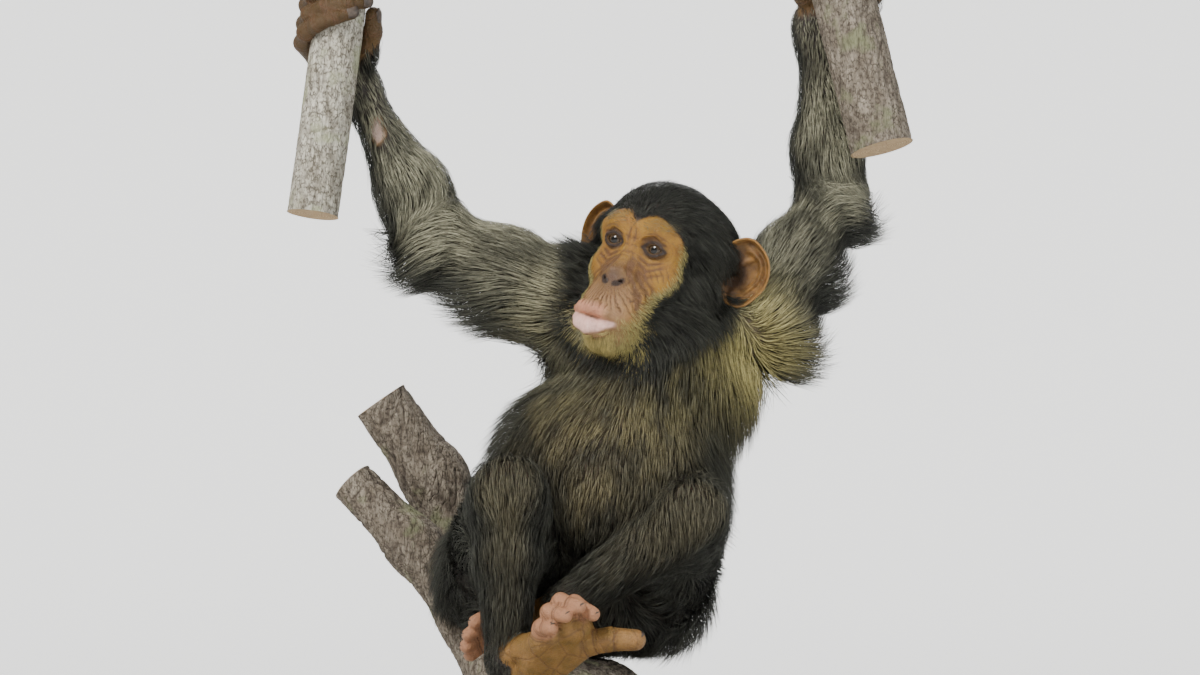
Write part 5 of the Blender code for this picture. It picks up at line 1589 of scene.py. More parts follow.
class Unwrap:
    """Finds the place on the unwrap of the skin's own shape that belongs to a point."""

    def __init__(self):
        copy = unwrapped_copy()
        mesh = copy.data
        self.triangles = corners_of_triangles(mesh)
        loops = np.empty(len(mesh.loop_triangles) * 3, np.int32)
        mesh.loop_triangles.foreach_get("loops", loops)
        places = np.empty(len(mesh.loops) * 2, np.float32)
        mesh.uv_layers.active.data.foreach_get("uv", places)
        self.places = places.reshape(-1, 2)[loops.reshape(-1, 3)]
        self.points = points_of(mesh)
        self.tree = BVHTree.FromPolygons(self.points.tolist(), self.triangles.tolist())
        bpy.data.objects.remove(copy)

    def at(self, points):
        found = [self.tree.find_nearest(point) for point in points]
        index = np.array([hit[2] for hit in found])
        place = np.array([hit[0] for hit in found])
        a, b, c = (self.points[self.triangles[index, i]] for i in range(3))
        whole = np.cross(b - a, c - a)
        size = np.maximum((whole * whole).sum(axis=1), 1e-18)
        second = (np.cross(place - a, c - a) * whole).sum(axis=1) / size
        third = (np.cross(b - a, place - a) * whole).sum(axis=1) / size
        shares = np.clip(np.stack([1 - second - third, second, third], axis=1), 0, 1)
        return (self.places[index] * shares[:, :, None]).sum(axis=1)


UNWRAP = Unwrap()


def coat_piece(name, lines, widths, outs, roots, values):
    """One piece of the coat, with each tuft's patch on the unwrap."""
    mesh, corners, spread = tuft_mesh(name, lines, widths, outs, values)
    places = np.repeat(UNWRAP.at(roots), len(spread) // len(roots), axis=0)
    places = places + (spread - 0.5) * BAKE_PATCH
    layer = mesh.uv_layers.new(name="OFBake")
    layer.data.foreach_set("uv", places[corners].astype(np.float32).ravel())
    mesh.materials.append(COAT)
    piece = new_object(name, mesh)
    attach(piece, "root")
    return piece


MOST_TRIANGLES = 192000  # in one piece of the coat
COAT_MARKS = ("olive", "brown", "grey", "pale", "black")


def grow(name, values, own_marks, count, chance, widths, pull, bends):
    """Tufts spread over the skin where values say, in pieces of at most MOST_TRIANGLES."""
    index, shares = scattered(SKIN_TRIANGLES, values["close"], count, chance)
    corner = SKIN_TRIANGLES[index]

    def at_roots(array):
        shape = shares if array.ndim == 1 else shares[:, :, None]
        return (array[corner] * shape).sum(axis=1)

    roots, outs = at_roots(SKIN_POINTS), unit(at_roots(SKIN_NORMALS))
    own = {key: at_roots(value) for key, value in values.items() if key != "marks"}
    own["lie"] = across(own["lie"], outs)
    lines = grown(roots, outs, own, chance, bends)
    lines = gathered(lines, roots, chance, pull)
    wide = chance.uniform(*widths, count) * MM * (1 - 0.25 * own["head"])
    marks = {key: at_roots(own_marks[key]) for key in COAT_MARKS}
    marks["tint"] = chance.uniform(0, 1, count)
    part = np.where(own["head"] > 0.5, 0, np.where(roots[:, 2] < 0.30, 1, 2))
    order = np.lexsort((roots[:, 0], part))
    most = MOST_TRIANGLES // len(tuft_faces(bends))
    for i, start in enumerate(range(0, count, most)):
        some = order[start : start + most]
        picked = {key: value[some] for key, value in marks.items()}
        coat_piece("%s_%d" % (name, i + 1), lines[some], wide[some], outs[some], roots[some], picked)


def fuzz_values(values):
    """Fine short hair on the chin, round the mouth and along the face's edge."""
    lateral, forward, up = in_head(SKIN_POINTS).T
    margin = face_margin(SKIN_POINTS)
    chin = ramp(lower_lip_edge(lateral) - up, 0.5, 3.0) * ramp(up, -108, -99)
    chin *= ramp(forward, 28, 44)
    chin *= ramp(np.abs(lateral + 6), 25, 15)
    corner = ramp(np.abs(lateral + 4), 19, 25) * ramp(-up, 66, 76) * ramp(forward, 44, 56)
    brow = ramp(up, 11, 14) * ramp(up, 25, 21)
    brow *= ramp(np.abs(lateral), 5, 9) * ramp(np.abs(lateral), 38, 32)
    edge = ramp(margin, 9, 1) * ramp(margin, -5, -1) * ramp(-up, -12, 4)
    made = dict(values)
    close = np.clip(1.3 * chin + 0.45 * corner + 0.5 * edge + 0.22 * brow, 0, 1.5)
    close *= (1 - SKIN_MARKS["lip"]) * (1 - SKIN_MARKS["rosy"])
    made["close"] = values["head"] * close
    wisps = corner * ramp(-lateral, 4, 14)
    made["length"] = (6.5 + 6.5 * ramp(-up, 86, 96) + 4.5 * wisps) * MM
    made["height"] = (2.2 + 2.5 * ramp(-up, 86, 96) + 3.5 * wisps) * MM
    made["lift"] = 0.25 + 0.30 * wisps
    down = unit(np.array((0, 0, -1.0)) + 1.1 * (SKIN_POINTS - np.array(on_head(0, 60, -70))) / 0.03)
    share = ramp(-up, 56, 70)[:, None]
    made["lie"] = across(values["lie"] * (1 - share) + down * share, SKIN_NORMALS)
    golden, low = ramp(np.abs(lateral + 3), 14, 24), ramp(-up, -12, 0)
    made["marks"] = {
        "olive": low * golden * (1 - wisps), "brown": 0.9 * brow, "grey": wisps,
        "pale": low * (1 - 0.75 * golden), "black": (1 - low) * (1 - brow),
    }
    return made


def make_coat():
    """Head, body and fuzz: each has its own count of tufts, widths in mm, pull and bends."""
    chance = np.random.default_rng(SEED)
    is_head = COAT_VALUES["head"] > 0.35
    on_head = dict(COAT_VALUES, close=COAT_VALUES["close"] * is_head)
    on_body = dict(COAT_VALUES, close=COAT_VALUES["close"] * ~is_head)
    grow("coat_head", on_head, SKIN_MARKS, HEAD_TUFTS, chance, (0.50, 0.95), 0.45, 3)
    grow("coat_body", on_body, SKIN_MARKS, BODY_TUFTS, chance, (0.45, 0.85), 0.40, 2)
    fuzz = fuzz_values(COAT_VALUES)
    grow("fuzz", fuzz, fuzz["marks"], FUZZ_TUFTS, chance, (0.26, 0.42), 0.25, 3)


COAT_VALUES = CoatPlan(SKIN_POINTS, SKIN_NORMALS).values()
SKIN_TRIANGLES = corners_of_triangles(skin.data)
make_coat()
FLESH_NODES = ["head", "neck", "torso"]
for flesh_part in ("upper_arm", "forearm", "thigh", "shin", "hand", "foot"):
    FLESH_NODES += [flesh_part + "_" + side for side in SIDES]
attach(skin, "root")
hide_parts(*FLESH_NODES)


# ---------------------------------------------------------------- ears
EAR_ROUND, EAR_OUT = 96, 40  # steps round an ear and from its middle to its rim
EAR_THICK = 2.6 * MM
EAR_ROOT = (56, -16, -9)  # mm on the head
# Its hollows and knobs: place outwards and upwards and half size both ways, as shares of the
# ear, and how many millimetres it lies back there.
EAR_KNOBS = (
    (-0.42, -0.10, 0.26, 0.30, 5.5),
    (-0.72, -0.16, 0.13, 0.22, -6.5),
    (-0.25, -0.55, 0.20, 0.13, -3.0),
)


class Ear:
    """A broad cup with a rolled rim, set on the side of the head."""

    def __init__(self, side):
        self.s = 1 if side == "left" else -1
        self.turn = HEAD_TURN @ Euler((0, 0, math.radians(EAR_SWEEP * self.s))).to_matrix()
        offset = self.turn @ Vector((self.s * EAR_REACH * 0.46, 0, 0))
        self.centre = on_head(EAR_ROOT[0] * self.s, *EAR_ROOT[1:]) + offset

    def height(self, out, angle):
        """How far back the cup's front lies, for shares outwards and angles round."""
        x, z = out * np.cos(angle), out * np.sin(angle)
        back = 10.0 * (1 - out**2) - 3.0
        # The rim rolls forward, the groove runs inside it, then the inner fold.
        outer = ramp(np.cos(angle), -0.75, -0.35)
        back -= 3.2 * np.exp(-(((out - 0.95) / 0.055) ** 2)) * outer
        back += 1.6 * np.exp(-(((out - 0.83) / 0.06) ** 2)) * outer
        fold = np.exp(-(((out - 0.62 - 0.05 * np.sin(2 * angle)) / 0.085) ** 2))
        back -= 3.4 * fold * ramp(x, -0.15, 0.15) * ramp(z, -0.75, -0.35)
        branch = np.exp(-(((z - 0.30 - 0.55 * x) / 0.09) ** 2))
        back -= 2.2 * branch * ramp(x, -0.45, -0.2) * ramp(x, 0.55, 0.35)
        for to_side, up, wide, tall, depth in EAR_KNOBS:
            back += depth * np.exp(-(np.hypot((x - to_side) / wide, (z - up) / tall) ** 2))
        return back * MM

    def outline(self, angle):
        """The rim's distance outwards and upwards: widest above, narrowing to the lobe."""
        low = ramp(-np.sin(angle), 0.25, 1.0)
        wide = EAR_REACH * 0.56 * (1 - 0.20 * low) * (1 + 0.03 * np.sin(3 * angle + 0.6))
        tall = EAR_HEIGHT / 2 * (1 + 0.015 * np.sin(5 * angle))
        return wide * np.cos(angle), tall * np.sin(angle)

    def place(self, local):
        return np.array(self.centre) + local * (self.s, 1, 1) @ np.array(self.turn).T

    def faces(self):
        """The front and the back of the cup, each from its middle to the rim, and the edge."""
        count = EAR_ROUND * EAR_OUT
        faces = []
        for layer, way in ((1, 1), (2 + count, -1)):
            for i in range(EAR_ROUND):
                j = (i + 1) % EAR_ROUND
                faces.append((layer - 1, layer + i, layer + j)[::way])
                for ring in range(EAR_OUT - 1):
                    low, high = layer + ring * EAR_ROUND, layer + (ring + 1) * EAR_ROUND
                    faces.append((low + i, high + i, high + j, low + j)[::way])
        edge, other = 1 + count - EAR_ROUND, 2 + 2 * count - EAR_ROUND
        for i in range(EAR_ROUND):
            j = (i + 1) % EAR_ROUND
            faces.append((edge + i, other + i, other + j, edge + j))
        return faces

    def build(self, name):
        angles = np.arange(EAR_ROUND) * 2 * math.pi / EAR_ROUND
        shares = (np.arange(1, EAR_OUT + 1) / EAR_OUT) ** 0.85
        out, angle = (grid.ravel() for grid in np.meshgrid(shares, angles, indexing="ij"))
        wide, tall = self.outline(angle)
        depth = self.height(out, angle)
        front = np.stack([wide * out, depth, tall * out], axis=1)
        thin = EAR_THICK * np.sqrt(np.clip(1 - out**6, 0, 1)) + 0.1 * MM
        back = front + np.stack([0 * thin, thin, 0 * thin], axis=1)
        middle = np.array([(0, self.height(np.zeros(1), np.zeros(1))[0], 0)])
        points = np.concatenate([middle, front, middle + (0, EAR_THICK, 0), back])
        mesh = bpy.data.meshes.new(name)
        mesh.from_pydata(self.place(points).tolist(), [], self.faces())
        shape = bmesh.new()
        shape.from_mesh(mesh)
        bmesh.ops.recalc_face_normals(shape, faces=shape.faces)
        shape.to_mesh(mesh)
        shape.free()
        shade_smooth(mesh)
        front_half = ramp(-np.cos(angle) * out, -0.25, 0.35) * ramp(out, 0.95, 0.65)
        # Painted shade: the deeper the cup and the nearer its front, the darker.
        deep = np.clip(ramp(depth, 3.5 * MM, 9.5 * MM) + 0.95 * front_half, 0, 1)
        rim = ramp(out, 0.86, 0.97)
        put_values(mesh, "deep", np.concatenate([[1], deep, [0], 0 * deep]))
        put_values(mesh, "rim", np.concatenate([[0], rim, [0], rim]))
        return new_object(name, mesh)


EAR_TAN = (0.320, 0.160, 0.040)
EAR_SHADE = (0.125, 0.062, 0.020)
EAR_HOLLOW_SHADE = (0.040, 0.020, 0.011)


def ear_material():
    """Brown skin, with painted shade in the cup, darkest where it lies deepest and at its front, and tan
    at the rim.
    """
    paint = Paint("ear_skin", Roughness=0.50, Specular_IOR_Level=0.40)
    paint.soften(0.10)
    blotches = paint.spread(paint.noise(0.010, 4.0, 0.6), 0.34, 0.62, 0.25, 0.95)
    colour = paint.mix(blotches, EAR_TAN, EAR_SHADE)
    colour = paint.mix(paint.times(paint.value("rim"), 0.6), colour, EAR_TAN)
    colour = paint.mix(paint.times(paint.value("deep"), 0.92), colour, EAR_HOLLOW_SHADE)
    normal = paint.bump(paint.noise(0.004, 4.0), 0.0009)
    normal = paint.bump(paint.spread(paint.cells(0.0018), 0.0, 0.18), 0.00022, normal)
    return paint.finish(colour, normal)


EAR_PAINT = ear_material()
for ear_side in SIDES:
    ear = Ear(ear_side).build("ear_skin_" + ear_side)
    ear.data.materials.append(EAR_PAINT)
    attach(ear, "root")
    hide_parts("ear_" + ear_side)


# ---------------------------------------------------------------- eyes
GAZE = Vector((0.10, 1.0, -0.02))  # on the head: to the left, forward, up
IRIS_EDGE, PUPIL_EDGE = 0.80, 0.27  # angles from the gaze, in radians
CORNEA_RISE, CORNEA_EDGE = 0.9 * MM, 0.72  # the edge as an angle from the gaze
EYE_CLEAR = 0.35  # mm that the eyeball is smaller than its solid, so that the lids cover it


def make_eye(side):
    """An eyeball with the bulge of its cornea, turned along the gaze."""
    s = 1 if side == "left" else -1
    centre = on_head(EYE_APART / 2 * s, EYE_FORWARD, EYE_UP)
    gaze = (HEAD_TURN @ Vector((GAZE.x, -GAZE.y, GAZE.z))).normalized()
    shape = bmesh.new()
    turn = gaze.to_track_quat("Z", "Y").to_matrix().to_4x4()
    bmesh.ops.create_uvsphere(shape, u_segments=64, v_segments=48, radius=1)
    angles = []
    for vert in shape.verts:
        angle = math.acos(max(-1.0, min(1.0, vert.co.z)))
        bulge = math.cos(min(1.0, angle / CORNEA_EDGE) * math.pi / 2)
        vert.co *= (EYE_RADIUS - EYE_CLEAR) * MM + CORNEA_RISE * max(0.0, bulge) ** 0.8
        angles.append(angle)
    bmesh.ops.transform(shape, matrix=Matrix.Translation(centre) @ turn, verts=shape.verts)
    eye = object_of("eyeball_" + side, shape)
    put_values(eye.data, "angle", angles)
    shade_smooth(eye.data)
    return eye


IRIS = (0.075, 0.048, 0.026)
IRIS_DARK = (0.014, 0.009, 0.006)
EYE_WHITE = (0.016, 0.011, 0.008)
PUPIL = (0.003, 0.0025, 0.002)


def eye_material():
    """Dark brown iris, black pupil and dark brown surround under a wet surface."""
    paint = Paint("wet_eye", Roughness=0.12, Specular_IOR_Level=0.35)
    paint.shader.inputs["Coat Weight"].default_value = 0.25
    paint.shader.inputs["Coat Roughness"].default_value = 0.02
    ragged = paint.spread(paint.noise(0.0006), 0.3, 0.7, -0.02, 0.02)
    angle = paint.math("ADD", paint.value("angle"), ragged)
    fibres = paint.noise(0.0009, 4.0)
    iris = paint.mix(paint.spread(fibres, 0.35, 0.65), IRIS_DARK, IRIS)
    iris = paint.mix(paint.spread(angle, 0.55, IRIS_EDGE), iris, IRIS_DARK)
    colour = paint.mix(paint.spread(angle, PUPIL_EDGE, PUPIL_EDGE + 0.04), PUPIL, iris)
    white = paint.mix(paint.spread(paint.noise(0.0025, 3.0), 0.4, 0.7), EYE_WHITE, IRIS_DARK)
    colour = paint.mix(paint.spread(angle, IRIS_EDGE - 0.03, IRIS_EDGE + 0.05), colour, white)
    return paint.finish(colour)


EYE_PAINT = eye_material()
for eye_side in SIDES:
    eyeball = make_eye(eye_side)
    eyeball.data.materials.append(EYE_PAINT)
    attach(eyeball, "root")
    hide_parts("eye_" + eye_side)


# ---------------------------------------------------------------- nails
def nail_places():
    """For each finger and toe: the tip, the way it points, the way its nail faces, its width."""
    places = []
    for side in SIDES:
        grip = GRIP[side]
        for finger in range(4):
            points = finger_points(side, finger)
            out = grip.way(finger_angles(side, finger)[-1])
            radius = FINGER_RADIUS * FINGER_TAPER
            places.append((points[-1], points[-1] - points[-2], out, radius))
        thumb = thumb_points(side)
        out = grip.way(THUMB[-1][0])
        places.append((thumb[-1], thumb[-1] - thumb[-2], out, THUMB_RADII[-1]))
        for base, knuckle, tip in TOES[side]:
            base, knuckle, tip = Vector(base), Vector(knuckle), Vector(tip)
            along = tip - knuckle
            top = (knuckle - base) - (knuckle - base).project(along)
            places.append((tip, along, top, TOE_RADIUS * 0.72))
        base, middle, tip = (Vector(point) for point in BIG_TOE[side])
        sole = HEEL[side] - ANKLE[side]
        places.append((tip, tip - middle, -sole, BIG_TOE_RADIUS * 0.8))
    return places


NAIL_STEPS = 10
# How far a nail reaches round its digit, in radians each way, and, as shares of the digit's
# radius, where it starts, how long it is, and how much shorter at its corners.
NAIL_TURN, NAIL_START, NAIL_LONG, NAIL_ROUND = 1.05, -0.75, 1.72, 0.28


def add_nail(shape, tip, along, out, radius):
    """A thin curved plate on the end of a finger or toe, longer than wide, free at its end."""
    along = along.normalized()
    out = (out - out.project(along)).normalized()
    side = along.cross(out)
    top, under = [], []
    for i in range(NAIL_STEPS + 1):
        v = i / NAIL_STEPS
        for j in range(NAIL_STEPS + 1):
            u = 2 * j / NAIL_STEPS - 1
            narrow = 0.80 + 0.20 * math.sin(math.pi * min(1.0, v * 1.1) / 2)
            angle = u * NAIL_TURN * narrow
            ahead = radius * (NAIL_START + NAIL_LONG * v - NAIL_ROUND * v * u * u)
            # The plate follows the round of the fingertip, then stands just clear of it.
            drop = max(0.0, ahead) / radius
            reach = radius * math.sqrt(max(0.05, 1 - 0.62 * drop * drop))
            for lift, layer in ((0.55 * MM, top), (-0.4 * MM, under)):
                round_way = out * math.cos(angle) + side * math.sin(angle)
                layer.append(shape.verts.new(tip + along * ahead + round_way * (reach + lift)))
    wide = NAIL_STEPS + 1
    for i in range(NAIL_STEPS):
        for j in range(NAIL_STEPS):
            a, b = i * wide + j, (i + 1) * wide + j
            shape.faces.new((top[a], top[a + 1], top[b + 1], top[b]))
            shape.faces.new((under[a], under[b], under[b + 1], under[a + 1]))
    rim = list(range(wide)) + [(i + 1) * wide - 1 for i in range(1, wide)]
    rim += [wide * wide - 1 - j for j in range(1, wide)]
    rim += [(wide - 1 - i) * wide for i in range(1, wide)]
    for a, b in zip(rim, rim[1:]):
        shape.faces.new((top[a], under[a], under[b], top[b]))


def make_nails():
    shape = bmesh.new()
    for place in nail_places():
        add_nail(shape, *place)
    bmesh.ops.recalc_face_normals(shape, faces=shape.faces)
    nails = object_of("nails", shape)
    shade_smooth(nails.data)
    return nails


NAIL_DARK, NAIL_LIGHT = (0.040, 0.030, 0.024), (0.085, 0.062, 0.048)


def nail_material():
    paint = Paint("nail", Roughness=0.46, Specular_IOR_Level=0.35)
    ridges = paint.noise(0.0012, 2.0, 0.5)
    blotches = paint.spread(paint.noise(0.004, 3.0), 0.35, 0.65)
    colour = paint.mix(blotches, NAIL_DARK, NAIL_LIGHT)
    return paint.finish(colour, paint.bump(ridges, 0.00012))


nails = make_nails()
nails.data.materials.append(nail_material())
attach(nails, "root")


# ---------------------------------------------------------------- bark
FORK_LIMBS = (
    ((-0.052, 0.070, 0.150), (-0.100, 0.150, 0.275), (-0.150, 0.150, 0.385), (-0.204, 0.140, 0.462)),
    ((-0.056, 0.040, 0.140), (-0.112, 0.082, 0.246), (-0.166, 0.096, 0.316), (-0.228, 0.106, 0.380)),
)
FORK_LIMB_RADII = ((0.046, 0.031, 0.029, 0.0275), (0.040, 0.026, 0.0235, 0.022))
SEAT, SEAT_RADIUS = Vector((0.004, 0.062, 0.152)), 0.058  # where the stem swells into the fork
FORK_BLEND = 0.022


def fork_forms():
    low = STEM_CENTRE + Vector((0, 0, STEM_BOTTOM - 0.02))
    high = STEM_CENTRE + Vector((0, 0.004, STEM_TOP - 0.040))
    forms = [Limb(low, high, STEM_RADIUS, STEM_RADIUS)]
    forms.append(Limb(high, SEAT, STEM_RADIUS - 0.010, SEAT_RADIUS))
    for points, radii in zip(FORK_LIMBS, FORK_LIMB_RADII):
        forms += chain([Vector(point) for point in points], radii)
    return forms


def fork_saws():
    """Where the fork is sawn off: a point on each cut and the way out of the wood."""
    saws = [(Vector((STEM_CENTRE.x, STEM_CENTRE.y, STEM_BOTTOM)), Vector((0, 0, -1)), 0.11)]
    for points in FORK_LIMBS:
        end, before = Vector(points[-1]), Vector(points[-2])
        way = (end - before).normalized()
        saws.append((end - way * 0.004, way, 0.036))
    return saws


def bark_relief(points, seed, ridge):
    """Depth of the bark's cracks and knobs at each point, from 0 outside to 1 deepest."""
    broad = wander(points * (1, 1, 0.45), 22 * MM, seed)
    crack = np.abs(wander(points * (1, 1, 0.30), 9 * MM, seed + 5))
    fine = np.abs(wander(points * (1, 1, 0.55), 3.5 * MM, seed + 9))
    knobs = np.clip(0.35 - 0.45 * broad, 0, 1) * 0.5
    return knobs + ridge * ramp(crack, 0.22, 0.0) + 0.18 * ramp(fine, 0.3, 0.0)


def barked(mesh, points, normals, seed, ridge, depth, cut, ring):
    """Presses the bark's cracks into a mesh, all but its sawn ends, and marks both."""
    relief = bark_relief(points, seed, ridge) * (1 - cut)
    put_points(mesh, points - normals * (relief * depth)[:, None])
    put_values(mesh, "cut", cut)
    put_values(mesh, "ring", ring)
    put_values(mesh, "relief", np.clip(relief, 0, 1))


LOG_ROUND, LOG_LONG, LOG_CAP = 124, 150, 10  # steps round a log, along it, and across its end


def make_log(name, axis, radius, seed, ridge, depth):
    """A cut length of trunk with flat sawn ends."""
    low, high = (np.array(end) for end in axis)
    turn = np.array((axis[1] - axis[0]).to_track_quat("Z", "Y").to_matrix())
    cap = np.linspace(0.02, 1, LOG_CAP)
    spans = np.linspace(0, 1, LOG_LONG)
    reach = np.concatenate([cap, np.ones(LOG_LONG), cap[::-1]])
    along = np.concatenate([0 * cap, spans, 0 * cap + 1])
    side = np.concatenate([0 * cap, 0 * spans + 1, 0 * cap])
    angles = np.arange(LOG_ROUND) * 2 * math.pi / LOG_ROUND
    reach, angle = np.meshgrid(reach, angles, indexing="ij")
    along, side = (np.repeat(values[:, None], LOG_ROUND, axis=1) for values in (along, side))
    uneven = 1 + 0.015 * np.sin(2 * angle + seed) + 0.010 * np.sin(3 * angle + 6 * along + seed)
    out = np.stack([np.cos(angle), np.sin(angle), 0 * angle], axis=-1) @ turn.T
    middle = low + along[..., None] * (high - low)
    points = (middle + out * (reach * uneven * radius)[..., None]).reshape(-1, 3)
    rows = len(reach)
    faces = []
    for row in range(rows - 1):
        for i in range(LOG_ROUND):
            j = (i + 1) % LOG_ROUND
            a, b = row * LOG_ROUND, (row + 1) * LOG_ROUND
            faces.append((a + i, a + j, b + j, b + i))
    faces.append(tuple(reversed(range(LOG_ROUND))))
    faces.append(tuple(range((rows - 1) * LOG_ROUND, rows * LOG_ROUND)))
    mesh = bpy.data.meshes.new(name)
    mesh.from_pydata(points.tolist(), [], faces)
    cut = (1 - side).ravel()
    barked(mesh, points, out.reshape(-1, 3), seed, ridge, depth, cut, (reach * radius).ravel())
    smooth = [abs(face.normal @ (axis[1] - axis[0]).normalized()) < 0.9 for face in mesh.polygons]
    mesh.polygons.foreach_set("use_smooth", smooth)
    return new_object(name, mesh)


def saw_off(shape, place, way, reach):
    """Saws a mesh flat, and gives the corners of the cut, with its centre last."""
    near = [face for face in shape.faces if (face.calc_center_median() - place).length < reach]
    edges = list(dict.fromkeys(edge for face in near for edge in face.edges))
    corners = list(dict.fromkeys(vert for face in near for vert in face.verts))
    made = bmesh.ops.bisect_plane(
        shape, geom=near + edges + corners, plane_co=place, plane_no=way, clear_outer=True
    )
    rim = [edge for edge in made["geom_cut"] if isinstance(edge, bmesh.types.BMEdge)]
    end = bmesh.ops.contextual_create(shape, geom=rim)["faces"]
    bmesh.ops.inset_region(shape, faces=end, thickness=1.2 * MM)
    places = [vert.co.copy() for face in end for vert in face.verts]
    return places + [vert.co.copy() for vert in bmesh.ops.poke(shape, faces=end)["verts"]]


def make_fork(seed, ridge, depth):
    """The fork, remeshed round its forms and sawn flat."""
    field = Flesh(fork_forms(), FORK_BLEND)
    fork = remeshed("fork_bark", field.forms, BARK_VOXEL)
    mesh = fork.data
    fitted(mesh, (0.0, 0.4, 0.2), 12 * MM, field)
    refined(mesh, lambda points: np.ones(len(points), bool))
    fitted(mesh, (0.3, 0.0), 3 * MM, field)
    shape = bmesh.new()
    shape.from_mesh(mesh)
    ends = [saw_off(shape, *saw) for saw in fork_saws()]
    bmesh.ops.recalc_face_normals(shape, faces=shape.faces)
    shape.to_mesh(mesh)
    shape.free()
    points, normals = points_of(mesh), normals_of(mesh)
    cut, ring = np.zeros(len(points)), np.zeros(len(points))
    for end in ends:
        for corner in end:
            index = np.flatnonzero(away_from(points, corner) < 1e-6)
            cut[index], ring[index] = 1, (corner - end[-1]).length
    barked(mesh, points, normals, seed, ridge, depth, cut, ring)
    shade_smooth(mesh)
    return fork


# The bark's own colour, its darker blotches, its dark streaks and flecks, also used as painted shade in
# the deepest cracks, and its moss; then the sawn wood's.
PALE = ((0.62, 0.59, 0.50), (0.44, 0.41, 0.33), (0.07, 0.055, 0.04), (0.34, 0.36, 0.22))
BROWN = ((0.33, 0.285, 0.225), (0.20, 0.165, 0.125), (0.055, 0.042, 0.032), (0.21, 0.23, 0.12))
SAWN_DARK, SAWN_LIGHT = (0.42, 0.28, 0.15), (0.58, 0.43, 0.26)
RING_TURNS = 2600.0  # radians for each metre from the wood's middle


def bark_material(name, light, mid, crack, moss):
    """Bark in its light, middle and dark colours, with painted shade in its deepest cracks and growth
    rings on sawn ends.
    """
    paint = Paint(name, Roughness=0.86, Specular_IOR_Level=0.22)
    blotches = paint.spread(paint.noise(0.020, 5.0, 0.62), 0.36, 0.64)
    colour = paint.mix(blotches, light, mid)
    streaks = paint.spread(paint.noise(0.006, 5.0, 0.65, (1, 1, 0.3)), 0.42, 0.64)
    colour = paint.mix(paint.times(streaks, 0.55), colour, crack)
    flecks = paint.spread(paint.cells(0.0024, stretch=(1, 1, 0.5)), 0.26, 0.04)
    groups = paint.spread(paint.noise(0.004, 3.0), 0.40, 0.58, 0.0, 0.85)
    colour = paint.mix(paint.times(flecks, groups), colour, crack)
    patches = paint.spread(paint.noise(0.035, 3.0), 0.56, 0.66, 0.0, 0.6)
    colour = paint.mix(patches, colour, moss)
    # Painted shade: the deepest cracks of the relief take the dark colour.
    colour = paint.mix(paint.spread(paint.value("relief"), 0.45, 0.95), colour, crack)
    rings = paint.math("SINE", paint.times(paint.value("ring"), RING_TURNS))
    rings = paint.math("ADD", rings, paint.spread(paint.noise(0.004), 0.3, 0.7, -0.8, 0.8))
    sawn = paint.mix(paint.spread(rings, -1.2, 1.2), SAWN_DARK, SAWN_LIGHT)
    colour = paint.mix(paint.value("cut"), colour, sawn)
    normal = paint.bump(paint.noise(0.0032, 6.0, 0.7, (1, 1, 0.4)), 0.0016)
    plates = paint.spread(paint.cells(0.006, stretch=(1, 1, 0.35)), 0.0, 0.12)
    return paint.finish(colour, paint.bump(plates, 0.0008, normal))


PALE_BARK, BROWN_BARK = bark_material("pale_bark", *PALE), bark_material("brown_bark", *BROWN)
# Each wood with its seed, the depth share of its ridges and the depth of its relief.
TRUNK_BARK = make_log("trunk_bark", TRUNK, TRUNK_RADIUS, 3, 0.30, 1.8 * MM)
BRANCH_BARK = make_log("branch_bark", BRANCH, BRANCH_RADIUS, 13, 0.45, 2.2 * MM)
WOODS = (
    (TRUNK_BARK, "perch_trunk", "pale_bark", PALE_BARK),
    (BRANCH_BARK, "perch_branch", "brown_bark", BROWN_BARK),
    (make_fork(23, 0.55, 2.6 * MM), "perch_fork", "brown_bark", BROWN_BARK),
)
for wood, node, slot, bark in WOODS:
    wood.data.materials.append(bark)
    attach(wood, "root")
    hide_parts(node)


# ---------------------------------------------------------------- the stand
BASE_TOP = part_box("stand_base")[1][2]
BOARD_DARK, BOARD_LIGHT = (0.050, 0.038, 0.030), (0.092, 0.070, 0.054)
STEEL_DARK, STEEL_LIGHT = (0.50, 0.50, 0.51), (0.62, 0.62, 0.63)
# Radius and height of the rod's collar, from the board up, in millimetres; the rod goes on.
COLLAR = (
    (0.0, 0.0), (15.0, 0.0), (15.6, 0.6), (15.6, 4.4), (15.0, 5.0), (9.4, 5.6), (8.6, 6.4), (8.0, 8.0),
)
ROD_CLEAR = 0.2 * MM  # at each end of a rod
ROD_STEPS = 64


def board_material():
    """Dark oiled wood with its grain along the board."""
    paint = Paint("stand_board", Roughness=0.38, Specular_IOR_Level=0.45)
    grain = paint.noise(0.004, 6.0, 0.6, (0.08, 1, 1))
    pores = paint.noise(0.0010, 3.0, 0.6, (0.05, 1, 1))
    colour = paint.mix(paint.spread(grain, 0.35, 0.65), BOARD_DARK, BOARD_LIGHT)
    rough = paint.spread(pores, 0.35, 0.65, 0.32, 0.48)
    return paint.finish(colour, paint.bump(pores, 0.00010), rough)


def steel_material():
    paint = Paint("stand_steel", Metallic=1.0, Roughness=0.30)
    brushed = paint.noise(0.0006, 4.0, 0.6, (1, 1, 0.02))
    colour = paint.mix(paint.spread(brushed, 0.3, 0.7), STEEL_DARK, STEEL_LIGHT)
    rough = paint.spread(brushed, 0.3, 0.7, 0.24, 0.36)
    return paint.finish(colour, paint.bump(brushed, 0.00003), rough)


def bridged(shape, loops):
    """Faces between one loop of corners and the next."""
    for low, high in zip(loops, loops[1:]):
        for i in range(len(low)):
            j = (i + 1) % len(low)
            shape.faces.new((low[i], low[j], high[j], high[i]))


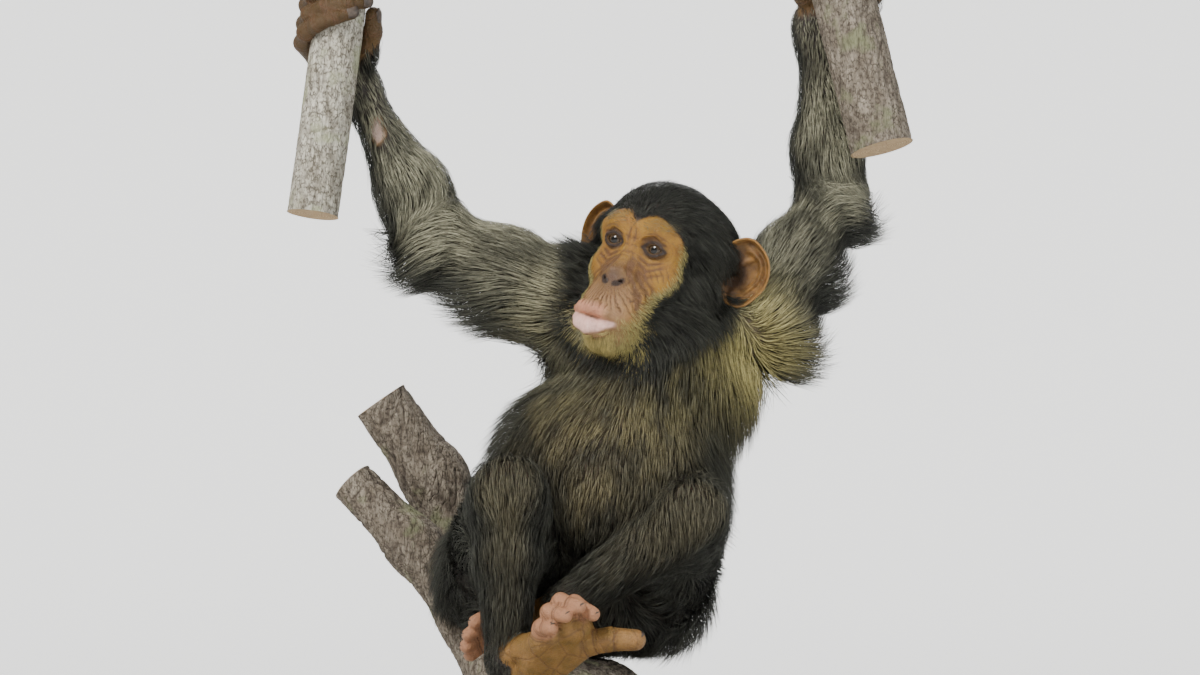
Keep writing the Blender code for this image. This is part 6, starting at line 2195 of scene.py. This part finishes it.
def turned_loop(shape, x, y, height, radius, steps):
    """Corners on a level circle."""
    turns = [2 * math.pi * i / steps for i in range(steps)]
    return [
        shape.verts.new((x + radius * math.cos(turn), y + radius * math.sin(turn), height))
        for turn in turns
    ]


def make_rod(side, x):
    """A turned steel rod with a collar that stands on the board."""
    shape = bmesh.new()
    bottom = BASE_TOP + ROD_CLEAR
    places = [(radius * MM, bottom + height * MM) for radius, height in COLLAR]
    places.append((ROD_RADIUS, STEM_BOTTOM - ROD_CLEAR))
    loops = [turned_loop(shape, x, STEM_CENTRE.y, up, radius, ROD_STEPS) for radius, up in places]
    bridged(shape, loops)
    shape.faces.new(loops[-1])
    bmesh.ops.remove_doubles(shape, verts=shape.verts, dist=1e-6)
    bmesh.ops.recalc_face_normals(shape, faces=shape.faces)
    return object_of("rod_" + side, shape)


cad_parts["stand_base"].data.materials.clear()
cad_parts["stand_base"].data.materials.append(board_material())
STEEL = steel_material()
for rod_side, rod_x in (("right", -ROD_APART / 2), ("left", ROD_APART / 2)):
    rod = make_rod(rod_side, STEM_CENTRE.x + rod_x)
    rod.data.materials.append(STEEL)
    for face in rod.data.polygons:
        face.use_smooth = abs(face.normal.z) < 0.9
    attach(rod, "root")
    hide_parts("stand_rod_" + rod_side)


# ---------------------------------------------------------------- studio
FLOOR_REACH, CORNER_RADIUS, WALL_HEIGHT = 10.0, 1.0, 14.0
FLOOR_RINGS = (0.02, 1.5, 3.0, 4.5, 6.0, FLOOR_REACH)
STUDIO_STEPS, CORNER_STEPS = 96, 8
WALL_GLOW = 1.2
PAPER_DARK, PAPER_LIGHT = (0.90, 0.90, 0.88), (0.93, 0.93, 0.91)


def paper_material():
    """White paper that glows towards the wall."""
    paint = Paint("studio_paper", Roughness=0.9)
    shade = paint.mix(paint.noise(0.4, 2.0), PAPER_DARK, PAPER_LIGHT)
    paint.shader.inputs["Emission Color"].default_value = (1.0, 1.0, 0.99, 1.0)
    glow = paint.times(paint.value("far"), WALL_GLOW)
    paint.tree.links.new(glow, paint.shader.inputs["Emission Strength"])
    return paint.finish(shade)


def make_backdrop(name, profile, paper, capped):
    """Part of the studio, turned from the radius and height of each ring, facing inwards."""
    shape = bmesh.new()
    loops = [turned_loop(shape, 0, 0, height, radius, STUDIO_STEPS) for radius, height in profile]
    if capped:
        shape.faces.new(loops[0])
    bridged(shape, [loop[::-1] for loop in loops])
    made = object_of(name, shape)
    shade_smooth(made.data)
    radii = np.linalg.norm(points_of(made.data)[:, :2], axis=1)
    put_values(made.data, "far", ramp(radii, 1.5, 6.0))
    made.data.materials.append(paper)
    return made


def make_studio():
    """A pale round floor that curves up, far out, into a pale wall all round."""
    floor = [(radius, 0.0) for radius in FLOOR_RINGS]
    wall = [floor[-1]]
    for step in range(1, CORNER_STEPS + 1):
        angle = math.pi / 2 * step / CORNER_STEPS
        out, up = CORNER_RADIUS * math.sin(angle), CORNER_RADIUS * (1 - math.cos(angle))
        wall.append((FLOOR_REACH + out, up))
    wall.append((FLOOR_REACH + CORNER_RADIUS, WALL_HEIGHT))
    paper = paper_material()
    make_backdrop("studio_floor", floor, paper, capped=True)
    around = make_backdrop("studio_wall", wall, paper, capped=False)
    # The wall is only there to be seen, so that the soft light still comes from all round.
    around.visible_diffuse = around.visible_glossy = around.visible_shadow = False


def add_light(name, place, target, size, power, colour):
    """A round soft lamp that faces its target."""
    lamp = bpy.data.lights.new(name, "AREA")
    lamp.shape, lamp.size, lamp.energy, lamp.color = "DISK", size, power, colour
    made = new_object(name, lamp)
    made.location = place
    made.visible_camera = False
    made.rotation_euler = (Vector(target) - Vector(place)).to_track_quat("-Z", "Y").to_euler()


make_studio()
MIDDLE = (0.0, 0.0, 0.45)
add_light("key", (-1.5, -2.2, 2.4), MIDDLE, 1.1, 134, (1.0, 0.985, 0.95))
add_light("fill", (2.2, -2.0, 1.0), MIDDLE, 1.8, 38, (0.95, 0.98, 1.0))
add_light("rim", (0.9, 1.5, 2.2), MIDDLE, 1.0, 26, (1.0, 1.0, 1.0))
world = bpy.data.worlds.new("studio")
world.use_nodes = True
world.node_tree.nodes["Background"].inputs["Color"].default_value = (0.90, 0.91, 0.92, 1)
world.node_tree.nodes["Background"].inputs["Strength"].default_value = 0.50
bpy.context.scene.world = world

camera_data = bpy.data.cameras.new("camera")
camera_data.lens = CAMERA_LENS
camera = new_object("camera", camera_data)
camera.location = CAMERA_AT
camera.rotation_euler = (math.radians(90 + CAMERA_RISE), 0, 0)
bpy.context.scene.camera = camera
